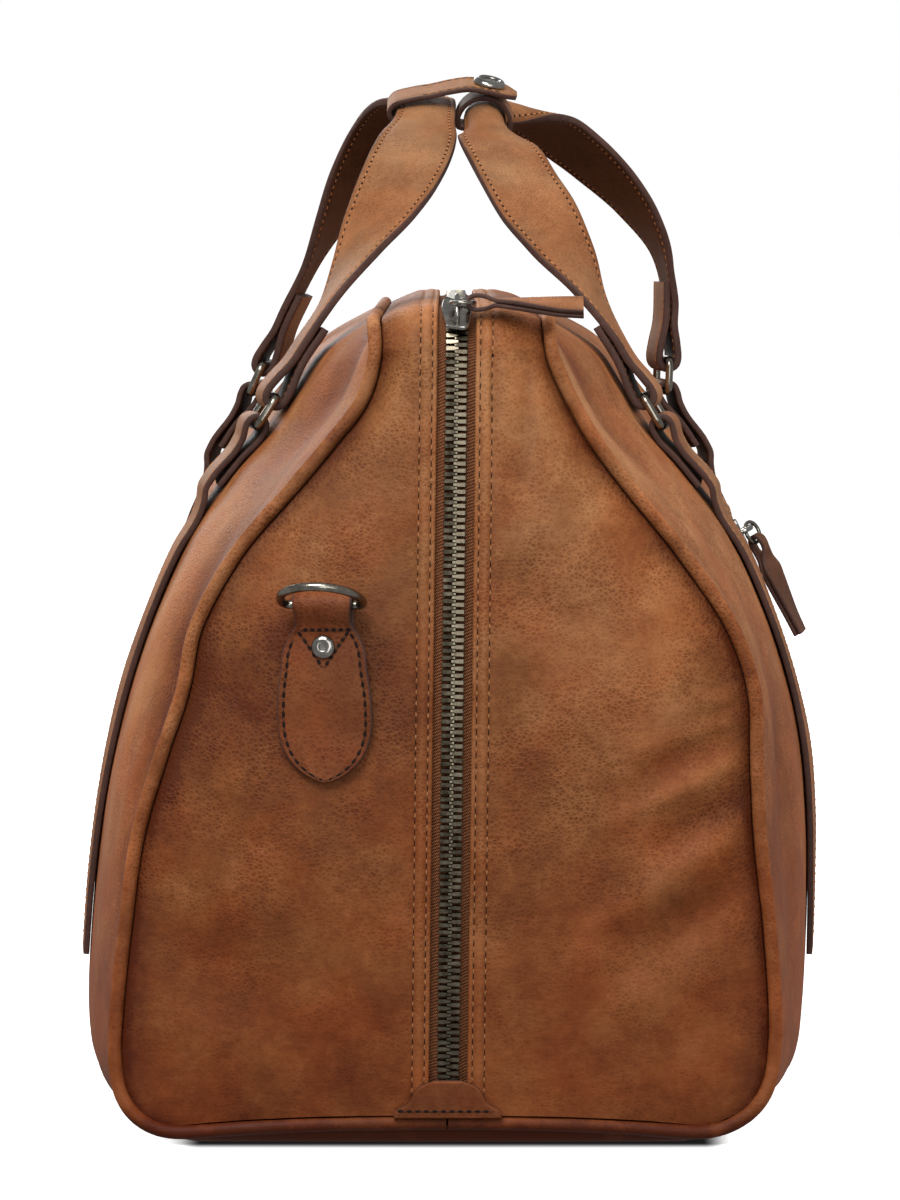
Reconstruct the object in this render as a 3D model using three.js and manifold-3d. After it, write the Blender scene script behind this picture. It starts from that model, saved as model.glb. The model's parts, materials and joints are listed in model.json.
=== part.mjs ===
// A leather travel bag: two swelling side panels and a bottom, closed by a zip gusset that runs up one end,
// over the top and down the other. Two carrying straps hang in rectangular rings on tabs sewn to the sides,
// a snap strap holds them together, and a riveted D-ring tab sits on each end.
// Millimetres, +Z up, +Y along the bag, left is -X, near is -Y. The origin is on the floor under mid-length.
import * as THREE from "three";
import { mergeVertices } from "three/addons/utils/BufferGeometryUtils.js";
import Module from "manifold-3d";

const wasm = await Module();
wasm.setup();

// Leather, cord and clearances
const WALL = 2;
const GAP = 0.4;
const PIPING_RADIUS = 2.4;
const SEAM_INSET = PIPING_RADIUS + 0.6;

// Body of the bag
const HALF_LENGTH = 216;
const END_LEAN = 12;
const TOP_SEAM_Z = 281;
const TOP_ZIP_Z = 286.5;
const CORNER_RADIUS = 12;
const ZIP_BEND = 20;
const ZIP_HALF_GAP = 6.5;
const ZIP_SWAY = 1.7;
const CROWN_POWER = 2.4;
const FLOOR_ARCH = 4.5;
const ROOF_FROM = 190;
const ROOF_TO = 250;

// Half width at each height: at the end seams on the left and right, and at mid-length on the left and right
const SECTIONS = [
  { z: 3.4, left: 98, right: 88.5, midLeft: 121, midRight: 113 },
  { z: 8, left: 107.5, right: 99, midLeft: 127.5, midRight: 120 },
  { z: 15, left: 113, right: 106.5, midLeft: 131.5, midRight: 125.5 },
  { z: 26, left: 115.4, right: 109.8, midLeft: 133.8, midRight: 128.5 },
  { z: 46, left: 114.7, right: 110.4, midLeft: 133.8, midRight: 130.3 },
  { z: 75, left: 111.6, right: 108.4, midLeft: 132, midRight: 131.5 },
  { z: 105, left: 107.5, right: 105.2, midLeft: 128.5, midRight: 131.8 },
  { z: 132, left: 99.7, right: 103.9, midLeft: 123.8, midRight: 129 },
  { z: 155, left: 92, right: 103, midLeft: 118, midRight: 122.5 },
  { z: 178, left: 87, right: 95, midLeft: 109, midRight: 114.5 },
  { z: 203, left: 73, right: 78, midLeft: 98, midRight: 104 },
  { z: 224, left: 55, right: 61, midLeft: 84.5, midRight: 89 },
  { z: 240, left: 41.5, right: 49, midLeft: 70, midRight: 74.5 },
  { z: 254, left: 31, right: 41, midLeft: 60.5, midRight: 65.5 },
  { z: TOP_SEAM_Z - CORNER_RADIUS, left: 26.5, right: 34.5, midLeft: 48.5, midRight: 54.5 },
  { z: TOP_SEAM_Z, left: 27, right: 33, midLeft: 27, midRight: 33 },
];

// How far the zip line stands out from the end seam: at the floor, at the bend, and the swell between them
const END_CROWN = { floor: 3, bend: 8, middle: 10 };

// Dents and folds: place along the panel and up it, height (a dent is negative), reach along and across the
// fold, and the fold's turn from level
const SIDE_FOLDS = [
  { side: -1, along: -188, z: 160, height: -4.5, length: 60, width: 13, turn: 80 },
  { side: -1, along: -152, z: 150, height: 3, length: 60, width: 16, turn: 78 },
  { side: -1, along: -158, z: 258, height: -5, length: 26, width: 18, turn: 90 },
  { side: 1, along: -160, z: 256, height: -4.5, length: 26, width: 18, turn: 90 },
  { side: 1, along: -160, z: 120, height: -3, length: 55, width: 16, turn: 84 },
  { side: 1, along: 150, z: 140, height: -3.5, length: 60, width: 18, turn: 96 },
  { side: -1, along: 150, z: 150, height: -5, length: 60, width: 20, turn: 98 },
  { side: -1, along: 95, z: 236, height: 8, length: 40, width: 34, turn: 0 },
  { side: 1, along: 95, z: 236, height: 9, length: 40, width: 34, turn: 0 },
];
const END_FOLDS = [
  { side: 1, along: 84, z: 95, height: 2.6, length: 22, width: 8, turn: 34 },
  { side: 1, along: 80, z: 78, height: -2.4, length: 24, width: 9, turn: 34 },
  { side: 1, along: 23, z: 248, height: -2.2, length: 26, width: 6.5, turn: 90 },
  { side: -1, along: 62, z: 205, height: -2, length: 30, width: 14, turn: 130 },
  { side: -1, along: 70, z: 60, height: -2, length: 32, width: 20, turn: 20 },
];

// Main zip: half widths and depths below the leather's face
const TAPE = { half: 10.2, top: 2.6, bottom: 3.4 };
const CHAIN = { half: 3.85, top: 0.3, bottom: 2.2 };
const ZIP_PATCH = { thick: 2.2, lift: 0.6 };
const ZIP_PATCH_OUTLINE = [
  { z: 10.2, half: 18.4 },
  { z: 12.6, half: 18 },
  { z: 15.2, half: 13.8 },
  { z: 18.5, half: 11.8 },
  { z: 21.4, half: 9.2 },
  { z: 23.2, half: 4.5 },
];

// Handles: strap, rectangular rings and the tabs that hold them
const STRAP = { width: 30, grip: 22, thick: 3.2, flatCurl: 10 };
const RING = { wire: 1.5, inner: 32, pitch: 12.4, corner: 3 };
const LOOP_INNER = 2;
const TAB_GAP = 0.6;
const HANDLE_Y = 95;
const RING_Z = 238;
const TAB = { width: 30, thick: 3, fold: 24, end: 52 };
const FOLD_BACK = 30;
// The grips and the snap slope down to the near end, about a level line across the bag
const GRIP_TILT = 16;
const GRIP_PIVOT_Z = 358;
const HANDLES = [
  { name: "left", side: -1, apexX: -9.5, apexZ: 358.5, lean: 0, curl: 34 },
  { name: "right", side: 1, apexX: 13, apexZ: 358, lean: -10, curl: 200 },
];
// Distances from mid-length between which a handle narrows and curls for the grip
const GRIP_ZONE = { from: 12, to: 40 };
// How each strap end leans out of the panel's slope, how far it rises before it bends to the grip, how far
// along the grip that bend reaches, and the shares of the leg between which its face turns up
const HANDLE_ENDS = [
  { handle: "left", end: "near", lean: 8, rise: 50, reach: 48, twist: [0.08, 0.66] },
  { handle: "left", end: "far", lean: 18, rise: 60, reach: 46, twist: [0.08, 0.66] },
  { handle: "right", end: "near", lean: 9, rise: 54, reach: 48, twist: [0.02, 0.44] },
  { handle: "right", end: "far", lean: 44, rise: 44, reach: 40, twist: [0.08, 0.66] },
];

// Snap strap over the handles: its run above them, after it has wrapped the left strap's outer edge
const SNAP = { width: 17, thick: 1.8, capRadius: 6, capHeight: 2.2, postRadius: 4 };
const SNAP_LOOP = { width: 11, gap: 1.2 };
const SNAP_RUN = [
  { x: -15, z: 362 },
  { x: -8, z: 363.2 },
  { x: 0, z: 365 },
  { x: 6, z: 365.8 },
  { x: 13.6, z: 364.8 },
  { x: 20, z: 363 },
  { x: 24, z: 361.4 },
];

// D-ring and its teardrop tab on each end
const D_TAB = { x: 42.7, barZ: 185, thick: 2.4, fold: 17, rivetDown: 14 };
const D_TAB_OUTLINE = [
  { down: 0, half: 10.2 },
  { down: 8, half: 10.2 },
  { down: 10, half: 11.8 },
  { down: 23, half: 15 },
  { down: 36, half: 16.2 },
  { down: 46, half: 14.9 },
  { down: 53, half: 10 },
  { down: 57.5, half: 5 },
  { down: 59.5, half: 1.5 },
];
const D_RING = { wire: 1.5, half: 14, leg: 4, corner: 3, rise: 16 };
const RIVET = { radius: 4, height: 1.5 };

// Sliders and their leather pulls
const SLIDER = { length: 17, width: 10.4, thick: 1.6, bridge: 5, wire: 0.9 };
const LINK = { radius: 4, wire: 0.7, reach: 2 };
const PULL = { length: 37, neck: 4, width: 11, thick: 1.5, play: 0.9 };
const POCKET = { z: 200, half: 65, slot: 10, tape: 9, chain: 3, slider: -52 };
const WELT = { from: 6.4, to: 15, half: 72, thick: 1.6 };

const FINISHES = {
  panel_leather: { color: 0x8a5735, roughness: 0.55, metalness: 0 },
  strap_leather: { color: 0x955f3c, roughness: 0.5, metalness: 0 },
  piping_leather: { color: 0x8d5c38, roughness: 0.5, metalness: 0 },
  zip_tape: { color: 0x57311e, roughness: 0.9, metalness: 0 },
  zip_metal: { color: 0x6b6150, roughness: 0.35, metalness: 1 },
  ring_metal: { color: 0x77736c, roughness: 0.3, metalness: 1 },
  snap_metal: { color: 0x8f8f90, roughness: 0.25, metalness: 1 },
};

const { lerp, smoothstep, degToRad } = THREE.MathUtils;
const LAST_ROW = SECTIONS.length - 1;
const UP = new THREE.Vector3(0, 0, 1);
const ALONG = new THREE.Vector3(0, 1, 0);
const BAG_MIDDLE = new THREE.Vector3(0, 0, 120);
const vec = (x, y, z) => new THREE.Vector3(x, y, z);
const steps = (count, from, to) =>
  Array.from({ length: count + 1 }, (_, i) => lerp(from, to, i / count));

// A table's column as a function of another column, straight between the rows.
function tableAt(table, key, column, at) {
  const next = Math.max(1, table.findIndex((row) => row[key] >= at));
  const [a, b] = [table[next - 1], table[next]];
  return lerp(a[column], b[column], THREE.MathUtils.clamp((at - a[key]) / (b[key] - a[key]), 0, 1));
}

// Solids

function signedVolume(points, faces) {
  let total = 0;
  for (let i = 0; i < faces.length; i += 3) {
    const [a, b, c] = [points[faces[i]], points[faces[i + 1]], points[faces[i + 2]]];
    total += a.dot(b.clone().cross(c)) / 6;
  }
  return total;
}

// A closed geometry from points and triangles, turned so that it faces out.
function closedGeometry(points, faces) {
  if (signedVolume(points, faces) < 0) faces.reverse();
  return new THREE.BufferGeometry().setFromPoints(points).setIndex(faces);
}

// A wall between two grids of points: both faces, and the rim that joins them.
function wallBetween(outer, inner) {
  const rows = outer.length;
  const cols = outer[0].length;
  const under = rows * cols;
  const at = (i, j) => i * cols + j;
  const faces = [];
  const quad = (a, b, c, d) => faces.push(a, b, c, a, c, d);
  for (let i = 0; i < rows - 1; i++) {
    for (let j = 0; j < cols - 1; j++) {
      const corners = [at(i, j), at(i, j + 1), at(i + 1, j + 1), at(i + 1, j)];
      quad(...corners);
      quad(...corners.map((k) => k + under).reverse());
    }
  }
  const rim = [];
  for (let j = 0; j < cols - 1; j++) rim.push(at(0, j));
  for (let i = 0; i < rows - 1; i++) rim.push(at(i, cols - 1));
  for (let j = cols - 1; j > 0; j--) rim.push(at(rows - 1, j));
  for (let i = rows - 1; i > 0; i--) rim.push(at(i, 0));
  rim.forEach((a, k) => {
    const b = rim[(k + 1) % rim.length];
    quad(b, a, a + under, b + under);
  });
  return closedGeometry([...outer.flat(), ...inner.flat()], faces);
}

// The outward normal at each point of a grid, from its neighbours.
function gridNormals(grid) {
  const near = (i, count) => [Math.max(0, i - 1), Math.min(count - 1, i + 1)];
  return grid.map((row, i) =>
    row.map((point, j) => {
      const [i0, i1] = near(i, grid.length);
      const [j0, j1] = near(j, row.length);
      const rise = grid[i1][j].clone().sub(grid[i0][j]);
      const run = grid[i][j1].clone().sub(grid[i][j0]);
      const normal = rise.cross(run).normalize();
      const outward = point.clone().sub(BAG_MIDDLE);
      return normal.dot(outward) < 0 ? normal.negate() : normal;
    }),
  );
}

// A wall that follows a grid on the bag's face, between two depths below that face.
function wallAtDepth(grid, top, bottom) {
  const normals = gridNormals(grid);
  const sunk = (depth) =>
    grid.map((row, i) => row.map((p, j) => p.clone().addScaledVector(normals[i][j], -depth)));
  return wallBetween(sunk(top), sunk(bottom));
}

// A round tube through points. A closed one lies in a plane with the given normal.
function tube(points, radius, sides, planeNormal = null) {
  const closed = planeNormal !== null;
  const count = points.length;
  const at = (k) => (closed ? points[(k + count) % count] : points[Math.min(count - 1, Math.max(0, k))]);
  let side = planeNormal;
  const rings = points.map((point, k) => {
    const heading = at(k + 1).clone().sub(at(k - 1)).normalize();
    if (side === null) side = Math.abs(heading.z) < 0.9 ? UP : ALONG;
    const first = side.clone().addScaledVector(heading, -side.dot(heading)).normalize();
    const second = heading.clone().cross(first);
    side = first;
    return steps(sides - 1, 0, 2 * Math.PI * (1 - 1 / sides)).map((angle) =>
      point
        .clone()
        .addScaledVector(first, radius * Math.cos(angle))
        .addScaledVector(second, radius * Math.sin(angle)),
    );
  });
  const faces = [];
  const spans = closed ? count : count - 1;
  for (let k = 0; k < spans; k++) {
    for (let s = 0; s < sides; s++) {
      const next = (s + 1) % sides;
      const [a, b] = [k * sides, ((k + 1) % count) * sides];
      faces.push(a + s, b + s, b + next, a + s, b + next, a + next);
    }
  }
  if (!closed) {
    for (let s = 1; s < sides - 1; s++) {
      const end = (count - 1) * sides;
      faces.push(0, s, s + 1, end, end + s + 1, end + s);
    }
  }
  return closedGeometry(rings.flat(), faces);
}

// A leather strap through stations. Each has a place, a direction across the strap, a width and a curl in
// degrees; the face stands on the side of across x heading.
function strap(stations, thick, columns = 1) {
  const count = stations.length;
  const faces = [thick / 2, -thick / 2].map((lift) =>
    stations.map((station, k) => {
      const before = stations[Math.max(0, k - 1)].place;
      const after = stations[Math.min(count - 1, k + 1)].place;
      const heading = after.clone().sub(before).normalize();
      const across = station.across
        .clone()
        .addScaledVector(heading, -station.across.dot(heading))
        .normalize();
      const face = across.clone().cross(heading);
      const bend = degToRad(Math.max(station.curl ?? 0, 0.1));
      const radius = station.width / bend;
      return steps(columns, -bend / 2, bend / 2).map((angle) =>
        station.place
          .clone()
          .addScaledVector(across, (radius + lift) * Math.sin(angle))
          .addScaledVector(face, (radius + lift) * Math.cos(angle) - radius),
      );
    }),
  );
  return wallBetween(faces[0], faces[1]);
}

// A geometry moved into a frame of three axes at a place.
function placed(geometry, place, x, y, z) {
  return geometry.applyMatrix4(new THREE.Matrix4().makeBasis(x, y, z).setPosition(place));
}

function asSolid(geometry) {
  const bare = new THREE.BufferGeometry().setAttribute("position", geometry.getAttribute("position"));
  bare.setIndex(geometry.index);
  const merged = mergeVertices(bare, 1e-4);
  return new wasm.Manifold(
    new wasm.Mesh({
      numProp: 3,
      vertProperties: merged.attributes.position.array,
      triVerts: new Uint32Array(merged.index.array),
    }),
  );
}

function asGeometry(solid) {
  const mesh = solid.getMesh();
  return new THREE.BufferGeometry()
    .setAttribute("position", new THREE.BufferAttribute(mesh.vertProperties, mesh.numProp))
    .setIndex(new THREE.BufferAttribute(mesh.triVerts, 1));
}

// Surfaces of the bag

const sectionCurve = (column) =>
  new THREE.SplineCurve(SECTIONS.map((row) => new THREE.Vector2(row[column], row.z)));
const OUTLINES = new Map([
  [-1, { end: sectionCurve("left"), mid: sectionCurve("midLeft") }],
  [1, { end: sectionCurve("right"), mid: sectionCurve("midRight") }],
]);

// The row, from 0 at the floor seam to 1 at the top seam, at a height.
function rowAt(z) {
  let [low, high] = [0, 1];
  for (let i = 0; i < 40; i++) {
    const middle = (low + high) / 2;
    if (OUTLINES.get(1).end.getPoint(middle).y < z) low = middle;
    else high = middle;
  }
  return low;
}

// How far an end seam is from mid-length at a height, and the panel's edge that stops short of it.
function seamReach(z, inset = 0) {
  const radius = CORNER_RADIUS - inset;
  const over = Math.min(radius, Math.max(0, z - (TOP_SEAM_Z - CORNER_RADIUS)));
  const straight = HALF_LENGTH - END_LEAN * (z / TOP_SEAM_Z) ** 2;
  return straight - inset - (radius - Math.sqrt(radius ** 2 - over ** 2));
}

function foldHeight(folds, side, along, z) {
  let total = 0;
  for (const fold of folds) {
    const [c, s] = [Math.cos(degToRad(fold.turn)), Math.sin(degToRad(fold.turn))];
    const [du, dz] = [along - fold.along, z - fold.z];
    const reach = ((du * c + dz * s) / fold.length) ** 2 + ((dz * c - du * s) / fold.width) ** 2;
    if (fold.side === side) total += fold.height * Math.exp(-reach);
  }
  return total;
}

// A point on a side panel's face: row up the panel, share from -1 at the near edge to 1 at the far edge.
function sidePoint(side, row, share) {
  const { end, mid } = OUTLINES.get(side);
  const atEnd = end.getPoint(row);
  const crown = 1 - Math.abs(share) ** CROWN_POWER;
  const half = lerp(atEnd.x, mid.getPoint(row).x, crown);
  const y = share * seamReach(atEnd.y, SEAM_INSET);
  const push = foldHeight(SIDE_FOLDS, side, y, atEnd.y) * (1 - Math.abs(share) ** 16);
  const slope = smoothstep(atEnd.y, ROOF_FROM, ROOF_TO) * 0.9;
  return vec(side * (half + push * Math.cos(slope)), y, atEnd.y + push * Math.sin(slope));
}

const sideAt = (side, y, z) => sidePoint(side, rowAt(z), y / seamReach(z, SEAM_INSET));

// How far the zip line stands out beyond the end seam.
function zipCrown(z) {
  const share = z / (TOP_SEAM_Z - CORNER_RADIUS);
  return lerp(END_CROWN.floor, END_CROWN.bend, share) + END_CROWN.middle * Math.sin(Math.PI * share);
}

const zipReach = (z) => seamReach(Math.min(z, TOP_SEAM_Z - CORNER_RADIUS)) + zipCrown(z);

// The zip leans a little to the right as it rises.
const zipX = (z) => lerp(-ZIP_SWAY, ZIP_SWAY, z / TOP_ZIP_Z);

// A point on the near end.
function endAt(x, z) {
  const side = x < zipX(z) ? -1 : 1;
  const half = Math.abs(side * OUTLINES.get(side).end.getPoint(rowAt(z)).x - zipX(z));
  const share = Math.max(0, (Math.abs(x - zipX(z)) - ZIP_HALF_GAP) / (half - ZIP_HALF_GAP));
  return vec(x, -seamReach(z) - zipCrown(z) * (1 - share ** CROWN_POWER), z);
}

// The near end seam on one side.
function seamPoint(side, row) {
  const outline = OUTLINES.get(side).end.getPoint(row);
  return vec(side * outline.x, -seamReach(outline.y), outline.y);
}

// One gusset half's rows from the near floor seam to mid-top: the zip edge and the seam edge.
function gussetRows(side) {
  const zipPoint = (y, z) => vec(zipX(z) + side * ZIP_HALF_GAP, y, z);
  const { end } = OUTLINES.get(side);
  const rows = [];
  for (let k = 0; k < LAST_ROW; k++) {
    const outline = end.getPoint(k / LAST_ROW);
    const heading = end.getTangent(k / LAST_ROW);
    const edge = outline.add(new THREE.Vector2(-heading.y, heading.x).multiplyScalar(SEAM_INSET));
    const zipZ = lerp(edge.y, SECTIONS[k].z, 0.5) + (FLOOR_ARCH + 3.5 * GAP) * Math.max(0, 1 - k / 2);
    rows.push({
      zip: zipPoint(-zipReach(zipZ), zipZ),
      edge: vec(side * edge.x, -seamReach(edge.y), edge.y),
      fold: 1,
    });
  }
  const foot = rows[LAST_ROW - 1].zip;
  const below = rows[LAST_ROW - 2].zip;
  const knee = foot.y + ((foot.y - below.y) / (foot.z - below.z)) * (TOP_ZIP_Z - foot.z);
  const bend = new THREE.QuadraticBezierCurve(
    new THREE.Vector2(foot.y, foot.z),
    new THREE.Vector2(knee, TOP_ZIP_Z),
    new THREE.Vector2(knee + ZIP_BEND, TOP_ZIP_Z),
  );
  const addRow = (zip, seam) =>
    rows.push({ zip, edge: seam.clone().lerp(zip, SEAM_INSET / seam.distanceTo(zip)), fold: 0 });
  for (const share of [0.3, 0.55, 0.78, 1]) {
    const zip = bend.getPoint(share);
    const seam = seamPoint(side, (LAST_ROW - 1 + Math.sin((share * Math.PI) / 2)) / LAST_ROW);
    addRow(zipPoint(zip.x, zip.y), seam);
  }
  const topSeam = seamPoint(side, 1);
  for (const share of [0.75, 0.5, 0.25, 0]) {
    addRow(
      zipPoint((knee + ZIP_BEND) * share, TOP_ZIP_Z),
      vec(topSeam.x, topSeam.y * share, TOP_SEAM_Z),
    );
  }
  return rows;
}

// The whole list from the near floor seam over the top to the far one.
function overTheTop(rows, flip) {
  return [...rows, ...rows.slice(0, -1).reverse().map(flip)];
}

const END_SIGN = { near: -1, far: 1 };
const flipY = (point) => vec(point.x, -point.y, point.z);
const facing = (end, point) => (end === "near" ? point : flipY(point));
const flipRow = (row) => ({ zip: flipY(row.zip), edge: flipY(row.edge), fold: 0 });
const GUSSET_ROWS = new Map([-1, 1].map((side) => [side, overTheTop(gussetRows(side), flipRow)]));

// Panels, seams and zip

// The row at which a side panel stops short of the top seam.
function topEdgeRow(side, share) {
  const seam = seamPoint(side, 1);
  let [low, high] = [1 - 1 / LAST_ROW, 1];
  for (let i = 0; i < 30; i++) {
    const middle = (low + high) / 2;
    const point = sidePoint(side, middle, share);
    if (Math.hypot(point.x - seam.x, point.z - seam.z) > SEAM_INSET) low = middle;
    else high = middle;
  }
  return low;
}

function sidePanel(side) {
  const shares = steps(16, -1, 1).map((s) => Math.sin((s * Math.PI) / 2));
  const bendRow = 1 - 1 / LAST_ROW;
  const columns = shares.map((share) => {
    const lastRow = topEdgeRow(side, share);
    const rows = steps(LAST_ROW - 1, 0, bendRow);
    rows.push(...[0.5, 0.8, 1].map((s) => lerp(bendRow, lastRow, s)));
    return rows.map((row) => sidePoint(side, row, share));
  });
  return wallAtDepth(columns, 0, WALL);
}

function gusset(side) {
  const grid = GUSSET_ROWS.get(side).map((row) =>
    [0, 0.2, 0.48, 0.78, 1].map((share) => {
      const point = row.edge.clone().lerp(row.zip, 1 - share ** CROWN_POWER);
      point.x = lerp(row.zip.x, row.edge.x, share);
      const fade = row.fold * (1 - share ** 12);
      point.y -= fade * foldHeight(END_FOLDS, side, Math.abs(point.x), point.z);
      return point;
    }),
  );
  return wallAtDepth(grid, 0, WALL);
}

function bottomPanel() {
  const floorSeam = SECTIONS[0];
  const liftFrom = 30;
  const flatShare = 0.86;
  const rimSlant = { x: 0.0046, y: 0.0024 };
  const grid = steps(12, -1, 1)
    .map((s) => Math.sin((s * Math.PI) / 2))
    .map((share) =>
      [-1, -0.94, -flatShare, -0.5, 0, 0.5, flatShare, 0.94, 1].map((across) => {
        const [end, mid] = across < 0 ? ["left", "midLeft"] : ["right", "midRight"];
        const crown = 1 - Math.abs(share) ** CROWN_POWER;
        const x = across * (lerp(floorSeam[end], floorSeam[mid], crown) - GAP);
        const bow = 1 - Math.min(1, Math.abs(x) / floorSeam[end]) ** CROWN_POWER;
        const reach = seamReach(floorSeam.z, SEAM_INSET) + END_CROWN.floor * bow;
        const y = share * reach;
        const arch = floorSeam.z - PIPING_RADIUS / 2 + FLOOR_ARCH * bow;
        const endLift = arch * Math.max(0, (Math.abs(y) - reach + liftFrom) / liftFrom) ** 2;
        const sideShare = Math.max(0, (Math.abs(across) - flatShare) / (1 - flatShare));
        return vec(x, y, Math.max(endLift, (floorSeam.z - GAP / 2) * sideShare ** 2));
      }),
    );
  const inner = grid.map((row) =>
    row.map((p) => vec(p.x * (1 - rimSlant.x * p.z), p.y * (1 - rimSlant.y * p.z), p.z + WALL)),
  );
  return wallBetween(grid, inner);
}

function piping(side) {
  const corner = seamPoint(side, 0);
  const half = [0.004, 0.2, 0.4, 0.6, 0.8, 0.93].map((share) => {
    const bow = 1 - share ** CROWN_POWER;
    const y = corner.y - END_CROWN.floor * bow;
    return vec(lerp(zipX(0), corner.x, share), y, corner.z + FLOOR_ARCH * bow);
  });
  for (let k = 0; k < LAST_ROW; k++) {
    half.push(seamPoint(side, k / LAST_ROW));
    if (k < 3) half.push(seamPoint(side, (k + 0.5) / LAST_ROW));
  }
  for (const turn of [25, 50, 72, 90]) {
    half.push(seamPoint(side, (LAST_ROW - 1 + Math.sin(degToRad(turn))) / LAST_ROW));
  }
  const top = seamPoint(side, 1);
  for (const share of [0.66, 0.33, 0]) half.push(vec(top.x, top.y * share, TOP_SEAM_Z));
  return tube(overTheTop(half, flipY), PIPING_RADIUS, 5);
}

// A band of the main zip between two half widths, under the gusset's face.
function zipBand({ half, top, bottom }) {
  const rows = GUSSET_ROWS.get(1).slice(1, -1);
  const grid = rows.map(({ zip }) => [-half, half].map((x) => vec(zipX(zip.z) + x, zip.y, zip.z)));
  return wallAtDepth(grid, top, bottom);
}

function zipPatch(end) {
  const grid = ZIP_PATCH_OUTLINE.map(({ z, half }) =>
    steps(4, -half, half).map((x) => facing(end, endAt(zipX(z) + x, z))),
  );
  return wallAtDepth(grid, -ZIP_PATCH.lift - ZIP_PATCH.thick, -ZIP_PATCH.lift);
}

// Tabs that loop round a bar

// A run down the bag's face from a bar: place, outward direction and cross direction at a distance down.
function runDown(faceAt, fromZ, toZ) {
  const tiny = 0.5;
  const points = steps(60, fromZ, toZ).map((z) => ({ z, place: faceAt(0, z) }));
  const lengths = [0];
  points.slice(1).forEach((p, i) => lengths.push(lengths[i] + p.place.distanceTo(points[i].place)));
  return {
    total: lengths[lengths.length - 1],
    at(down) {
      const next = Math.max(1, lengths.findIndex((length) => length >= Math.min(down, this.total)));
      const share = (down - lengths[next - 1]) / (lengths[next] - lengths[next - 1]);
      const z = lerp(points[next - 1].z, points[next].z, share);
      const place = faceAt(0, z);
      const across = faceAt(tiny, z).sub(faceAt(-tiny, z)).normalize();
      const rise = faceAt(0, z + tiny).sub(faceAt(0, z - tiny));
      const up = rise.addScaledVector(across, -rise.dot(across)).normalize();
      const out = across.clone().cross(up);
      if (out.dot(place.clone().sub(BAG_MIDDLE)) < 0) out.negate();
      return { place, across, up, out };
    },
  };
}

const barOffset = (thick) => TAB_GAP + thick + LOOP_INNER;

// A tab that starts under itself, loops over the bar at the top of the run and lies down the face.
function loopedTab(run, { thick, fold }, widthAt, downs) {
  const [back, front] = [TAB_GAP + thick / 2, TAB_GAP + 1.5 * thick + 0.3];
  const bar = barOffset(thick);
  const radius = LOOP_INNER + thick / 2;
  const settle = 10;
  const offsetAt = (down) =>
    down < fold
      ? lerp(bar + radius, front, smoothstep(down, 0, settle))
      : lerp(front, back, smoothstep(down, fold + 2, fold + 2 + settle));
  const at = (down, offset, lift = 0) => {
    const { place, across, up, out } = run.at(down);
    place.addScaledVector(out, offset).addScaledVector(up, lift);
    return { place, across, width: widthAt(down) };
  };
  const stations = [fold, fold / 2, 2].map((down) => at(down, back));
  for (const angle of steps(5, Math.PI, 0)) {
    stations.push(at(0, bar + radius * Math.cos(angle), radius * Math.sin(angle)));
  }
  for (const down of [3, 6.5, 10, fold, fold + 4, fold + 8, fold + 12, ...downs]) {
    stations.push(at(down, offsetAt(down)));
  }
  return stations;
}

function barCentre(run, thick) {
  const { place, out } = run.at(0);
  return place.addScaledVector(out, barOffset(thick));
}

const sideRun = (side, end) =>
  runDown((dy, z) => sideAt(side, END_SIGN[end] * HANDLE_Y + dy, z), RING_Z, TAB.end);
const endRun = (end) =>
  runDown(
    (dx, z) => facing(end, endAt(END_SIGN[end] * (D_TAB.x + dx), z)),
    D_TAB.barZ,
    D_TAB.barZ - 70,
  );

function handleTab(side, end) {
  const run = sideRun(side, end);
  const downs = steps(6, TAB.fold + 28, run.total);
  return strap(loopedTab(run, TAB, () => TAB.width, downs), TAB.thick);
}

function dRingTab(run) {
  const widthAt = (down) => 2 * tableAt(D_TAB_OUTLINE, "down", "half", down);
  const downs = D_TAB_OUTLINE.map((row) => row.down).filter((down) => down > D_TAB.fold + 13);
  return strap(loopedTab(run, D_TAB, widthAt, downs), D_TAB.thick);
}

// Rings and rivets

// A closed loop of a straight bar, two legs and a round top, in its own plane: x along the bar, z away from it.
function dRingPath() {
  const { half, leg, corner } = D_RING;
  const turns = steps(8, 0, Math.PI).map((a) => [half * Math.cos(a), leg + half * Math.sin(a)]);
  const bends = steps(2, -Math.PI / 2, 0).map((a) => [
    half - corner + corner * Math.cos(a),
    corner + corner * Math.sin(a),
  ]);
  const mirrored = bends.map(([x, z]) => [-x, z]).reverse();
  return [...bends, ...turns, ...mirrored].map(([x, z]) => vec(x, 0, z));
}

function dRing() {
  return tube(dRingPath(), D_RING.wire, 6, ALONG);
}

// The frame of a handle ring: its lower bar, the way it stands and the way it faces.
function ringFrame(side, end, lean) {
  const run = sideRun(side, end);
  const { across, up, out } = run.at(0);
  const turn = degToRad(lean);
  return {
    bar: barCentre(run, TAB.thick),
    across,
    up: up.clone().multiplyScalar(Math.cos(turn)).addScaledVector(out, Math.sin(turn)),
    out: out.clone().multiplyScalar(Math.cos(turn)).addScaledVector(up, -Math.sin(turn)),
  };
}

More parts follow.
